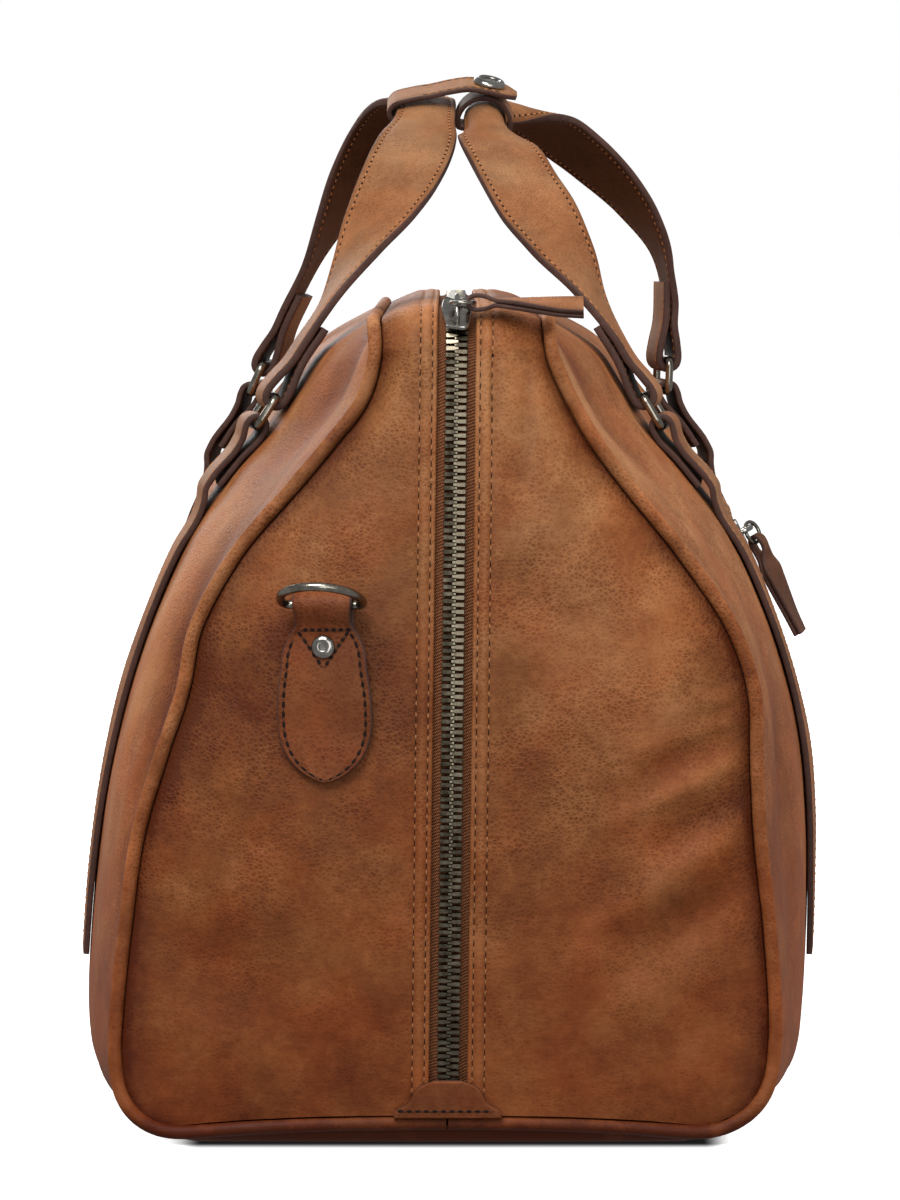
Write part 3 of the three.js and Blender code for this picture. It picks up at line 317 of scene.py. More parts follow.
# Snap strap over the handles
SNAP = {"width": 17, "thick": 1.8, "cap": 6, "rise": 2.2, "post": 4, "loop_width": 11, "loop_gap": 1.2}
SNAP_RUN = table(
    "x z", (-15, 362), (-8, 363.2), (0, 365), (6, 365.8), (13.6, 364.8), (20, 363), (24, 361.4)
)
SNAP_AT = 4
# Turns of the snap strap round the left grip's edge
SNAP_WRAP = (-50, -10, 30, 65)
SNAP_STITCH = {"inset": 1.9, "groove": 0.1, "pitch": 3.0}
SNAP_SEAT = 0.3
# Corners of one side of the keeper's section, as shares of its half width and half thickness
KEEPER_CORNERS = [(-1, 0.5), (-0.93, 1), (-0.3, 1), (0.3, 1), (0.93, 1), (1, 0.5)]

# Turned metal: shares of the radius and the height, from hub to hub
HUB = 0.05
CAP_PROFILE = table(
    "radius height",
    (0, 0),
    (0.98, 0),
    (1, 0.2),
    (0.98, 0.5),
    (0.9, 0.82),
    (0.78, 0.98),
    (0.68, 1),
    (0.6, 0.94),
    (0.54, 0.72),
    (0.4, 0.66),
    (0, 0.7),
)
POST_PROFILE = table(
    "radius height", (0, 0), (1, 0), (1, 0.3), (0.8, 0.42), (0.8, 0.6), (1, 0.72), (1, 1), (0, 1)
)
RIVET_PROFILE = table(
    "radius height",
    (0, 0),
    (1, 0),
    (1, 0.22),
    (0.95, 0.5),
    (0.8, 0.8),
    (0.6, 0.96),
    (0.42, 1),
    (0.34, 0.9),
    (0.28, 0.62),
    (0, 0.6),
)

# D-ring and its teardrop tab on each end
D_TAB = {
    "x": 42.7,
    "bar_z": 185,
    "end": 115,
    "thick": 2.4,
    "pressed": 2.4,
    "fold": 17,
    "settle": 28,
    "rivet_down": 14,
    "stitch": 2.2,
}
D_TAB_OUTLINE = table(
    "down half",
    (0, 10.2),
    (8, 10.2),
    (10, 11.8),
    (23, 15),
    (36, 16.2),
    (45, 15.5),
    (51, 13),
    (55, 9.6),
    (58, 5.2),
    (59.5, 1.5),
)
D_RING = {"wire": 1.5, "half": 14, "leg": 4, "corner": 3, "rise": 16}
RIVET = {"radius": 4, "height": 1.5, "lift": 0.6}
# Stitches between the rivet and the ring, from a place to a place given as across and down
D_TAB_SEAMS = table(
    "start stop", ((-8.5, 7.5), (8.5, 7.5)), ((-8.0, 8.5), (0.0, 20.5)), ((8.0, 8.5), (0.0, 20.5))
)
D_TAB_PITCH = {"outline": 3.4, "seams": 2.6}
# Length of the tab that is sewn down, and the least half width beyond the row of stitches
D_TAB_SEWN = {"length": 50, "least": 0.8}
# Stations on the flat of the tab: from where below the fold, and how far apart
D_TAB_FINE = {"from": 14, "step": 2.0}

# Sliders, their leather pulls, and the pocket on the right side
SLIDER = {"length": 17, "width": 10.4, "thick": 1.6, "bridge": 5, "wire": 0.9}
# The wire bridge on a slider: its half length as a share of the plate's, and its shoulders
BRIDGE = {"half": 0.34, "shoulder_y": 0.72, "shoulder_z": 0.7, "crown": 1.02}
# Right half of the slider's plate, as shares of its width and length
SLIDER_OUTLINE = [(0.36, -0.5), (0.46, -0.1), (0.5, 0.2), (0.38, 0.5), (0.1, 0.44)]
# Where the main slider is on the zip's bend: behind it, under it and ahead of it
SLIDER_ON_BEND = np.array([0.3, 0.55, 0.78])
LINK = {"radius": 4, "wire": 0.7, "reach": 2}
PULL = {"length": 37, "neck": 4, "width": 11, "thick": 1.5, "play": 0.9}
# Places down a pull from its tip, where it widens, and how it opens round the link
PULL_DOWNS = (PULL["length"], 29, 22, 15, 11, 7, 3.5)
PULL_WIDENS = (3, 11)
PULL_OPEN = {"until": 4, "share": 0.9, "rest": 0.15}
POCKET = {
    "z": 200,
    "half": 65,
    "slot": 10,
    "tape": 9,
    "tape_top": 3.2,
    "tape_bottom": 4.0,
    "chain": 3,
    "slider": -52,
    "rise": 0.86,
}
# Rows close to the pocket's slot, and how close to its ends a step may be, as a share
SLOT_LIP = 0.8
SLOT_CLEAR = 0.004
WELT = {"from": 6.4, "to": 15, "half": 72, "thick": 1.6}

X_AXIS = np.array([1.0, 0, 0])
ALONG = np.array([0, 1.0, 0])
UP = np.array([0, 0, 1.0])


# Numbers and lines


def unit(v):
    return v / np.linalg.norm(v, axis=-1, keepdims=True)


def lerp(a, b, share):
    return a + (b - a) * share


def cos_sin(degrees):
    return math.cos(math.radians(degrees)), math.sin(math.radians(degrees))


def bell(value, middle, reach, power=2):
    """A swell of height 1 about a middle."""
    return np.exp(-(((value - middle) / reach) ** power))


def full_turn(count):
    return np.linspace(0, 2 * np.pi, count, endpoint=False)


def eased(count):
    """Shares from -1 to 1 that crowd towards both ends."""
    return np.sin(np.linspace(-1, 1, count) * np.pi / 2)


def point_mirrored(corners):
    """Half of an outline and the other half, which is the first turned about."""
    return np.array(corners + [(-a, -b) for a, b in corners])


def smooth(value, low, high):
    share = np.clip((value - low) / (high - low), 0, 1)
    return share * share * (3 - 2 * share)


def column(rows, name):
    return np.array([row[name] for row in rows], float)


def travelled(points):
    """The distance along a line at each of its points."""
    return np.concatenate([[0], np.cumsum(np.linalg.norm(np.diff(points, axis=0), axis=1))])


def through(places, values, at):
    """A smooth curve through values at rising places, read at other places."""
    values = np.asarray(values, float)
    slopes = np.gradient(values, places, axis=0)
    k = np.clip(np.searchsorted(places, at, side="right") - 1, 0, len(places) - 2)
    flat = (-1,) + (1,) * (values.ndim - 1)
    span = (places[k + 1] - places[k]).reshape(flat)
    t = (at - places[k]).reshape(flat) / span
    rise = (1 - t) ** 2 * t * span * slopes[k] + t**2 * (t - 1) * span * slopes[k + 1]
    return (1 + 2 * t) * (1 - t) ** 2 * values[k] + t**2 * (3 - 2 * t) * values[k + 1] + rise


def resampled(points, step):
    """A smooth line through points, in even steps."""
    places = travelled(points)
    return through(places, points, np.linspace(0, places[-1], int(places[-1] / step) + 2))


def spline(values, share):
    """A uniform Catmull-Rom curve through values, at a share of the way along them."""
    last = len(values) - 1
    place = np.clip(share, 0, 1) * last
    k = np.minimum(place.astype(int), last - 1)
    t = place - k
    before, a, b, after = (values[np.clip(k + d, 0, last)] for d in (-1, 0, 1, 2))
    slope_a, slope_b = (b - before) / 2, (after - a) / 2
    cubic = (2 * a - 2 * b + slope_a + slope_b) * t**3
    return cubic + (-3 * a + 3 * b - 2 * slope_a - slope_b) * t**2 + slope_a * t + a


def waves(points, length, seed):
    """A soft seeded swell over points, from -1 to 1 or so."""
    count = 7
    rng = np.random.default_rng(seed)
    directions = unit(rng.normal(size=(count, 3)))
    turns = directions / (length * rng.uniform(0.7, 1.5, count))[:, None]
    phases = rng.uniform(0, 2 * np.pi, count)
    return np.sin(2 * np.pi * points @ turns.T + phases).mean(axis=-1) * math.sqrt(count) / 1.4


def surface_waves(points):
    return sum(row["height"] * waves(points, row["length"], row["seed"]) for row in SURFACE_WAVES)


# Surfaces of the bag


def section(name, row):
    return spline(column(SECTIONS, name), np.asarray(row, float))


ROW_SHARES = np.linspace(0, 1, 3001)
ROW_HEIGHTS = section("z", ROW_SHARES)


def row_at(z):
    return np.interp(z, ROW_HEIGHTS, ROW_SHARES)


def seam_reach(z, inset=0.0):
    """How far an end seam is from mid-length at a height."""
    radius = CORNER_RADIUS - inset
    over = np.clip(z - BEND_Z, 0, radius)
    straight = HALF_LENGTH - END_LEAN * (z / TOP_SEAM_Z) ** 2
    return straight - inset - (radius - np.sqrt(radius**2 - over**2))


def fold_height(folds, side, along, z):
    total = np.zeros(np.broadcast(along, z).shape)
    for fold in folds:
        if fold["side"] != side:
            continue
        c, s = cos_sin(fold["turn"])
        du, dz = along - fold["along"], z - fold["z"]
        reach = ((du * c + dz * s) / fold["length"]) ** 2 + ((dz * c - du * s) / fold["width"]) ** 2
        total = total + fold["height"] * np.exp(-reach)
    return total


def side_point(side, row, share):
    """A side panel's face: row up the panel, share from -1 at the near edge to 1 at the far edge."""
    end, mid = SIDE_COLUMNS[side]
    z = section("z", row)
    crown = 1 - np.abs(share) ** CROWN_POWER
    half = lerp(section(end, row), section(mid, row), crown)
    y = share * seam_reach(z, SEAM_INSET)
    push = fold_height(SIDE_FOLDS, side, y, z) * (1 - np.abs(share) ** FADE["side_folds"])
    slope = smooth(z, ROOF_FROM, ROOF_TO) * ROOF_TURN
    return np.stack([side * (half + push * np.cos(slope)), y, z + push * np.sin(slope)], -1)


def side_at(side, y, z):
    y, z = np.broadcast_arrays(np.asarray(y, float), np.asarray(z, float))
    return side_point(side, row_at(z), y / seam_reach(z, SEAM_INSET))


def zip_crown(z):
    share = z / BEND_Z
    ends = lerp(END_CROWN["floor"], END_CROWN["bend"], share)
    return ends + END_CROWN["middle"] * np.sin(np.pi * share)


def zip_reach(z):
    return seam_reach(np.minimum(z, BEND_Z)) + zip_crown(z)


def zip_x(z):
    return lerp(-ZIP_SWAY, ZIP_SWAY, z / TOP_ZIP_Z)


def end_at(x, z):
    """A point on the near end."""
    x, z = np.broadcast_arrays(np.asarray(x, float), np.asarray(z, float))
    right = x >= zip_x(z)
    outline = np.where(right, section("right", row_at(z)), -section("left", row_at(z)))
    half = np.abs(outline - zip_x(z))
    share = np.maximum(0, (np.abs(x - zip_x(z)) - ZIP_HALF_GAP) / (half - ZIP_HALF_GAP))
    return np.stack([x, -seam_reach(z) - zip_crown(z) * (1 - share**CROWN_POWER), z], -1)


def facing(end, points):
    return points * np.array([1, -END_SIGNS[end], 1])


def seam_point(side, row):
    z = section("z", row)
    return np.stack([side * section(SIDE_COLUMNS[side][0], row), -seam_reach(z), z], -1)


def over_the_top(points):
    """A line from the near floor seam to mid-top, carried on to the far floor seam."""
    return np.concatenate([points, points[-2::-1] * np.array([1, -1, 1])])


def end_rows(side, place):
    """The gusset's zip edge and seam edge up the near end, at places counted in the sections."""
    tiny = 1e-4
    row = place / LAST_ROW
    name = SIDE_COLUMNS[side][0]
    x, z = section(name, row), section("z", row)
    behind, ahead = np.maximum(row - tiny, 0), row + tiny
    heading = unit(np.stack([section(key, ahead) - section(key, behind) for key in (name, "z")], -1))
    edge_x, edge_z = x - SEAM_INSET * heading[:, 1], z + SEAM_INSET * heading[:, 0]
    zip_z = lerp(edge_z, z, 0.5) + ZIP_FOOT["rise"] * np.maximum(0, 1 - place / ZIP_FOOT["rows"])
    zip_edge = np.stack([zip_x(zip_z) + side * ZIP_HALF_GAP, -zip_reach(zip_z), zip_z], -1)
    return zip_edge, np.stack([side * edge_x, -seam_reach(edge_z), edge_z], -1)


def zip_bend(side, share):
    """The zip's bend from the near end into the top, at shares of the way round it: y and z."""
    (below, foot), _ = end_rows(side, np.array([LAST_ROW - 2.0, LAST_ROW - 1.0]))
    knee = foot[1] + (foot[1] - below[1]) / (foot[2] - below[2]) * (TOP_ZIP_Z - foot[2])
    corner, top = np.array([knee, TOP_ZIP_Z]), np.array([knee + ZIP_BEND, TOP_ZIP_Z])
    t = share[:, None]
    return (1 - t) ** 2 * foot[1:] + 2 * t * (1 - t) * corner + t**2 * top


def level_run(start, shares):
    """A line along the bag from a point on the near half, at shares of its distance to mid-length."""
    return start * np.array([1, 0, 1]) + shares[:, None] * start * ALONG


def gusset_rows(side):
    """The gusset's zip edge, its seam edge and where it takes folds, from floor to floor."""
    rough = np.linspace(0, LAST_ROW - 1, DENSE)
    lengths = travelled(end_rows(side, rough)[0])
    even = np.linspace(0, lengths[-1], GUSSET_STEPS["end"])
    zips, edges = end_rows(side, np.interp(even, lengths, rough))
    share = np.linspace(0, 1, GUSSET_STEPS["bend"] + 1)[1:]
    bend = zip_bend(side, share)
    bend_zip = np.column_stack([zip_x(bend[:, 1]) + side * ZIP_HALF_GAP, bend])
    bend_seam = seam_point(side, (LAST_ROW - 1 + np.sin(share * np.pi / 2)) / LAST_ROW)
    run = np.linspace(1, 0, GUSSET_STEPS["top"] + 1)[1:]
    later_zip = np.concatenate([bend_zip, level_run(bend_zip[-1], run)])
    later_seam = np.concatenate([bend_seam, level_run(bend_seam[-1], run)])
    inset = SEAM_INSET / np.linalg.norm(later_seam - later_zip, axis=1, keepdims=True)
    zips = over_the_top(np.concatenate([zips, later_zip]))
    edges = over_the_top(np.concatenate([edges, lerp(later_seam, later_zip, inset)]))
    folds = np.arange(len(zips)) < GUSSET_STEPS["end"]
    return zips, edges, folds


# Meshes


def grid_normals(grid):
    normals = unit(np.cross(np.gradient(grid, axis=0), np.gradient(grid, axis=1)))
    return normals if np.sum(normals * (grid - BAG_MIDDLE)) > 0 else -normals


def facing_out(verts, faces):
    """Faces turned so that the mesh they close faces out."""
    first = np.array([face[:3] for face in faces])
    others = [face for face in faces if len(face) == 4]
    second = np.array([[face[0], face[2], face[3]] for face in others]).reshape(-1, 3)
    corners = (verts - verts.mean(axis=0))[np.concatenate([first, second])]
    volume = np.sum(corners[:, 0] * np.cross(corners[:, 1], corners[:, 2]))
    return faces if volume > 0 else [list(face)[::-1] for face in faces]


def shell(outer, inner, keep=None):
    """A closed wall between two grids. keep marks the cells that are there."""
    rows, cols = outer.shape[:2]
    under = rows * cols
    keep = np.ones((rows - 1, cols - 1), bool) if keep is None else keep
    index = np.arange(under).reshape(rows, cols)
    corners = np.stack([index[:-1, :-1], index[:-1, 1:], index[1:, 1:], index[1:, :-1]], -1)
    bordered = np.pad(keep, 1)
    walls = []
    for a, b, di, dj in ((0, 1, -1, 0), (1, 2, 0, 1), (2, 3, 1, 0), (3, 0, 0, -1)):
        edge = corners[keep & ~bordered[1 + di : rows + di, 1 + dj : cols + dj]]
        walls.append(np.stack([edge[:, b], edge[:, a], edge[:, a] + under, edge[:, b] + under], -1))
    faces = np.concatenate([corners[keep], corners[keep][:, ::-1] + under, *walls])
    verts = np.concatenate([outer.reshape(-1, 3), inner.reshape(-1, 3)])
    used, faces = np.unique(faces, return_inverse=True)
    return verts[used], facing_out(verts[used], faces.reshape(-1, 4).tolist()), used


def loft(rings, closed=False):
    """A skin round rings of points, with a cap on each end unless it closes on itself."""
    count, sides = rings.shape[:2]
    index = np.arange(count * sides).reshape(count, sides)
    if closed:
        index = np.concatenate([index, index[:1]])
    ahead = np.roll(index, -1, axis=1)
    faces = np.stack([index[:-1], ahead[:-1], ahead[1:], index[1:]], -1).reshape(-1, 4).tolist()
    if not closed:
        faces += [index[0][::-1].tolist(), index[-1].tolist()]
    verts = rings.reshape(-1, 3)
    return verts, facing_out(verts, faces)


def tube(points, radius, sides=12, plane=None):
    """A round tube along points. A closed one lies in a plane with the given normal."""
    closed = plane is not None
    ahead, behind = np.roll(points, -1, axis=0), np.roll(points, 1, axis=0)
    if not closed:
        ahead[-1], behind[0] = points[-1], points[0]
    headings = unit(ahead - behind)
    firsts = []
    side = plane if closed else (UP if abs(headings[0][2]) < 0.9 else ALONG)
    for heading in headings:
        side = unit(side - heading * (side @ heading))
        firsts.append(side)
    firsts = np.array(firsts)
    seconds = np.cross(headings, firsts)
    turn = full_turn(sides)[None, :, None]
    reach = np.broadcast_to(radius, len(points)).reshape(-1, 1, 1)
    rings = points[:, None] + reach * (np.cos(turn) * firsts[:, None] + np.sin(turn) * seconds[:, None])
    return loft(rings, closed)


def lathe(profile, sides=40):
    """A turned solid about Z from rows of radius and height."""
    turn = full_turn(sides)
    circle = np.column_stack([np.cos(turn), np.sin(turn)])
    rings = [np.column_stack([radius * circle, np.full(sides, height)]) for radius, height in profile]
    return loft(np.array(rings))


def turned(shares, radius, height):
    """A turned solid from a table of radius and height shares, closed at a small hub."""
    return lathe([(max(radius * row["radius"], HUB), height * row["height"]) for row in shares])


def placed(mesh, place, x, y, z):
    verts, faces = mesh
    return verts @ np.stack([x, y, z]) + place, faces


def scattered(mesh, places, x, y, z):
    """Copies of a small mesh, each in its own frame."""
    verts, faces = mesh
    frames = np.stack([x, y, z], axis=1)
    all_verts = (np.einsum("vi,kij->kvj", verts, frames) + places[:, None]).reshape(-1, 3)
    starts = np.arange(len(places)) * len(verts)
    all_faces = [[k + start for k in face] for start in starts.tolist() for face in faces]
    return all_verts, all_faces


def joined(*meshes):
    verts, faces = [], []
    start = 0
    for part_verts, part_faces in meshes:
        verts.append(part_verts)
        faces += [[k + start for k in face] for face in part_faces]
        start += len(part_verts)
    return np.concatenate(verts), faces


SLOTS = {row["node"]: row["material_slot"] for row in frame["record"]["subparts"]}
NEUTRAL_TONE = 0.5


def piece(name, mesh, materials, slot, zones=None, tone=None, uv=None, body="bag", stands_for=()):
    """A mesh object in the frame, riding on a body. Zones pick the material of each face."""
    verts, faces = mesh
    data = bpy.data.meshes.new(name)
    data.from_pydata((verts * MM).tolist(), [], faces)
    for material in materials:
        data.materials.append(material)
    if zones is not None:
        data.polygons.foreach_set("material_index", np.asarray(zones, np.int32))
    shade = np.full(len(verts), NEUTRAL_TONE) if tone is None else tone
    data.attributes.new("tone", "FLOAT", "POINT").data.foreach_set("value", shade.astype(np.float32))
    if uv is not None:
        corners = np.zeros(len(data.loops), np.int32)
        data.loops.foreach_get("vertex_index", corners)
        data.uv_layers.new(name="UVMap").data.foreach_set("uv", uv[corners].astype(np.float32).ravel())
    data.shade_smooth()
    data.set_sharp_from_angle(angle=math.radians(42))
    obj = bpy.data.objects.new(name, data)
    bpy.context.scene.collection.objects.link(obj)
    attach(obj, body)
    if stands_for:
        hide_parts(*stands_for)
    return obj


def dress(node, mesh, materials, **more):
    """A fine mesh that stands for a node of the frame."""
    return piece(node + "_fine", mesh, materials, SLOTS[node], stands_for=(node,), **more)


# Materials

# Noise in the leather: scale, detail and roughness
LEATHER_NOISE = {
    "patchy": (60.0, 3.0, 0.5),
    "pores": (2400.0, 3.0, 0.6),
    "creases": (210.0, 5.0, 0.62),
    "broad": (13.0, 3.0, 0.5),
    "patches": (46.0, 5.0, 0.62),
    "flecks": (330.0, 4.0, 0.65),
    "reds": (36.0, 3.0, 0.55),
}
# What the shade of neutral leather comes to without its patches, and the shades from dark to pale
SHADE_MIDDLE = 0.925
SHADE_SPREAD = 0.38
WHITE = (1, 1, 1)
REDDER = (1, 0.82, 0.7)
# Shine of edges, backs and thread
LOW_SHEEN = 0.2
WEAVE_MM = 1.1
WEAVE_COLOURS = ((0.03, 0.009, 0.004), (0.1, 0.031, 0.011), (0.3, 0.12, 0.05))


class Shader:
    """A material and short calls for the nodes that feed it."""

    def __init__(self, name):
        self.material = bpy.data.materials.new(name)
        self.material.use_nodes = True
        self.tree = self.material.node_tree
        self.surface = self.tree.nodes["Principled BSDF"]
        self.place = self.node("TexCoord").outputs["Object"]

    def node(self, kind, inputs=(), **settings):
        made = self.tree.nodes.new("ShaderNode" + kind)
        for key, value in settings.items():
            setattr(made, key, value)
        for key, value in dict(inputs).items():
            self.feed(made.inputs[key], value)
        return made

    def feed(self, socket, value):
        if isinstance(value, bpy.types.NodeSocket):
            self.tree.links.new(value, socket)
        else:
            socket.default_value = value

    def noise(self, scale, detail=3.0, rough=0.55, place=None):
        inputs = {"Vector": place or self.place, "Scale": scale, "Detail": detail, "Roughness": rough}
        return self.node("TexNoise", inputs).outputs["Fac"]

    def math(self, operation, a, b=0.0):
        made = self.node("Math", {0: a, 1: b}, operation=operation)
        return made.outputs[0]

    def span(self, value, low, high, to_low=0.0, to_high=1.0, soft=False):
        kind = "SMOOTHSTEP" if soft else "LINEAR"
        inputs = {"Value": value, "From Min": low, "From Max": high, "To Min": to_low, "To Max": to_high}
        return self.node("MapRange", inputs, interpolation_type=kind).outputs["Result"]

    def ramp(self, value, stops):
        stops = list(stops)
        made = self.node("ValToRGB", {"Fac": value})
        elements = made.color_ramp.elements
        while len(elements) < len(stops):
            elements.new(0.5)
        for element, (place, colour) in zip(elements, stops):
            element.position = place
            element.color = (*colour, 1)
        return made.outputs["Color"]

    def times(self, colour, tint):
        made = self.node("VectorMath", {0: colour, 1: tint}, operation="MULTIPLY")
        return made.outputs[0]

    def attribute(self, name):
        return self.node("Attribute", attribute_name=name).outputs["Fac"]

    def total(self, *terms):
        """The sum of values, each times its weight."""
        result = 0.0
        for value, weight in terms:
            result = self.math("ADD", self.math("MULTIPLY", value, weight), result)
        return result

    def bump(self, height, depth_mm, strength=1.0):
        inputs = {"Height": height, "Distance": depth_mm * MM, "Strength": strength}
        self.feed(self.surface.inputs["Normal"], self.node("Bump", inputs).outputs["Normal"])

    def set(self, **values):
        for key, value in values.items():
            self.feed(self.surface.inputs[key.replace("_", " ")], value)
        return self.material


def leather(name, colours, grain_mm, relief_mm, foot=WHITE, sheen=0.16, mottle=0.95):
    """Waxed leather: dark pits in a paler net, strong in patches, mottled colour, and a foot that is
    darker and redder, partly its own colour and partly painted shade.
    """
    s = Shader(name)
    warp = s.node("TexNoise", {"Vector": s.place, "Scale": 150.0, "Detail": 2.0}).outputs["Color"]
    shift = s.node("VectorMath", {0: warp, "Scale": 0.0016}, operation="SCALE").outputs[0]
    warped = s.node("VectorMath", {0: s.place, 1: shift}, operation="ADD").outputs[0]
    cells = {"Vector": warped, "Scale": 1 / (grain_mm * MM)}
    pits = s.span(s.node("TexVoronoi", cells).outputs["Distance"], 0.0, 0.62, 1.0, 0.0, soft=True)
    edges = s.node("TexVoronoi", cells, feature="DISTANCE_TO_EDGE").outputs["Distance"]
    net = s.span(edges, 0.0, 0.2, 1.0, 0.0, soft=True)
    z = s.node("SeparateXYZ", {0: s.place}).outputs["Z"]
    patchy = s.span(s.noise(*LEATHER_NOISE["patchy"]), 0.35, 0.65, 0.3, 1.0)
    strength = s.math("MULTIPLY", patchy, s.span(z, 0.03, 0.12, 0.35, 1.0))
    grain = s.math("MULTIPLY", s.total((net, 0.4), (pits, -0.5)), strength)
    pores = s.noise(*LEATHER_NOISE["pores"])
    level = s.node("VectorMath", {0: s.place, 1: (0.6, 0.6, 1.6)}, operation="MULTIPLY").outputs[0]
    creases = s.noise(*LEATHER_NOISE["creases"], level)
    broad, patches, flecks = (s.noise(*LEATHER_NOISE[key]) for key in ("broad", "patches", "flecks"))
    # The tone attribute holds painted light and painted shade together with random tone
    tone = s.attribute("tone")
    shade = s.total((broad, 0.6), (patches, mottle), (flecks, 0.34), (grain, 0.34), (tone, 1.0))
    middle = SHADE_MIDDLE + mottle / 2
    level_shade = s.span(shade, middle - SHADE_SPREAD, middle + SHADE_SPREAD)
    colour = s.ramp(level_shade, zip((0.0, 0.5, 1.0), colours))
    # Darker and redder towards the floor: partly the leather's colour, partly painted shade
    tint = s.ramp(s.span(z, 0.03, 0.21), [(0.0, foot), (1.0, WHITE)])
    reds = s.span(s.noise(*LEATHER_NOISE["reds"]), 0.4, 0.64)
    warm = s.ramp(reds, [(0.0, WHITE), (1.0, REDDER)])
    tinted = s.times(s.times(colour, tint), warm)
    s.bump(s.total((grain, 0.7), (pores, 0.16), (creases, 0.8)), relief_mm, 0.85)
    gloss = s.total((patches, 0.16), (flecks, 0.14), (grain, -0.08))
    return s.set(Base_Color=tinted, Roughness=s.math("ADD", gloss, 0.42), Specular_IOR_Level=sheen)


def plain_leather(name, low, high, rough, relief_mm):
    """Edge paint and smooth backs: a dark colour that varies a little, with a fine skin."""
    s = Shader(name)
    grain = s.noise(520.0, 4.0, 0.6)
    blotch = s.noise(60.0, 3.0, 0.5)
    colour = s.ramp(s.total((grain, 0.5), (blotch, 0.5)), [(0.3, low), (0.7, high)])
    s.bump(grain, relief_mm)
    worn = s.span(blotch, 0.3, 0.7, rough - 0.08, rough + 0.08)
    return s.set(Base_Color=colour, Roughness=worn, Specular_IOR_Level=LOW_SHEEN)


def thread_look(name, low, high):
    s = Shader(name)
    twist = s.noise(2100.0, 2.0, 0.5)
    s.bump(twist, 0.12)
    colour = s.ramp(s.total((twist, 0.5), (s.noise(160.0), 0.5)), [(0.3, low), (0.7, high)])
    return s.set(Base_Color=colour, Roughness=0.62, Specular_IOR_Level=LOW_SHEEN)


def tape_look():
    """Woven zip tape: ribs across it in a fine twill."""
    s = Shader("zip_tape_weave")
    parts = s.node("SeparateXYZ", {0: s.node("TexCoord").outputs["UV"]})
    u, v = parts.outputs["X"], parts.outputs["Y"]
    slanted = s.math("ADD", v, s.math("MULTIPLY", u, 0.6))
    across, slant = (
        s.math("SINE", s.math("MULTIPLY", value, 2 * math.pi / WEAVE_MM)) for value in (u, slanted)
    )
    weave = s.span(s.math("MULTIPLY", across, slant), -1.0, 1.0)
    fuzz = s.noise(900.0, 4.0, 0.7)
    shade = s.total((weave, 0.55), (fuzz, 0.45))
    colour = s.ramp(shade, zip((0.25, 0.5, 0.75), WEAVE_COLOURS))
    s.bump(shade, 0.3)
    return s.set(Base_Color=colour, Roughness=0.85, Specular_IOR_Level=0.15)


def metal(name, low, high, rough):
    """Aged metal: cloudy tint, small dents and uneven polish."""
    s = Shader(name)
    cloud = s.noise(240.0, 5.0, 0.62)
    marks = s.noise(1500.0, 2.0, 0.5)
    colour = s.ramp(s.total((cloud, 0.75), (marks, 0.25)), [(0.32, low), (0.68, high)])
    s.bump(s.total((cloud, 0.6), (marks, 0.4)), 0.03)
    polish = s.span(cloud, 0.3, 0.7, rough - 0.08, rough + 0.1)
    return s.set(Base_Color=colour, Metallic=1.0, Roughness=polish)


PANEL_COLOURS = ((0.082, 0.02, 0.005), (0.182, 0.064, 0.019), (0.32, 0.142, 0.056))
STRAP_COLOURS = ((0.08, 0.029, 0.01), (0.155, 0.068, 0.027), (0.25, 0.12, 0.053))
TAB_COLOURS = ((0.055, 0.012, 0.003), (0.125, 0.034, 0.01), (0.21, 0.07, 0.024))
PIPING_COLOURS = ((0.08, 0.02, 0.006), (0.18, 0.062, 0.019), (0.31, 0.132, 0.052))
PANEL_FOOT_COLOUR_AND_SHADE = (0.86, 0.62, 0.48)
PANEL = leather("panel_leather_look", PANEL_COLOURS, 1.45, 0.42, PANEL_FOOT_COLOUR_AND_SHADE)
SIDE_PANEL = leather("side_leather_look", PANEL_COLOURS, 1.45, 0.36, PANEL_FOOT_COLOUR_AND_SHADE, 0.26, 0.7)
STRAP_FACE = leather("strap_leather_look", STRAP_COLOURS, 1.2, 0.2, (0.9, 0.72, 0.6))
TAB_FACE = leather("tab_leather_look", TAB_COLOURS, 1.5, 0.3)
PIPING = leather("piping_leather_look", PIPING_COLOURS, 1.4, 0.34, (0.92, 0.7, 0.58))
EDGE = plain_leather("edge_paint", (0.034, 0.015, 0.011), (0.078, 0.037, 0.028), 0.5, 0.1)
# Backs of straps: a darker lining colour, deepened further with painted shade
BACK_WITH_PAINTED_SHADE = plain_leather("strap_back_painted_shade", (0.04, 0.015, 0.007), (0.095, 0.037, 0.018), 0.55, 0.14)
THREAD = thread_look("thread_tan", (0.2, 0.08, 0.03), (0.42, 0.2, 0.09))
STRAP_THREAD = thread_look("thread_orange_tan", (0.28, 0.1, 0.034), (0.46, 0.19, 0.072))
TAB_THREAD = thread_look("thread_dark", (0.05, 0.016, 0.007), (0.12, 0.04, 0.016))
# Needle holes: near-black discs that paint the shade inside each hole
HOLE_SHADE = plain_leather("needle_hole_painted_shade", (0.006, 0.002, 0.001), (0.016, 0.006, 0.003), 0.8, 0.05)
WEAVE = tape_look()
ZIP_METAL = metal("antique_zip_metal", (0.075, 0.06, 0.038), (0.29, 0.25, 0.18), 0.27)
RING_METAL = metal("gunmetal_ring", (0.16, 0.145, 0.12), (0.42, 0.39, 0.33), 0.22)
NICKEL = metal("nickel_cap", (0.22, 0.21, 0.19), (0.52, 0.5, 0.46), 0.2)

# Stitches

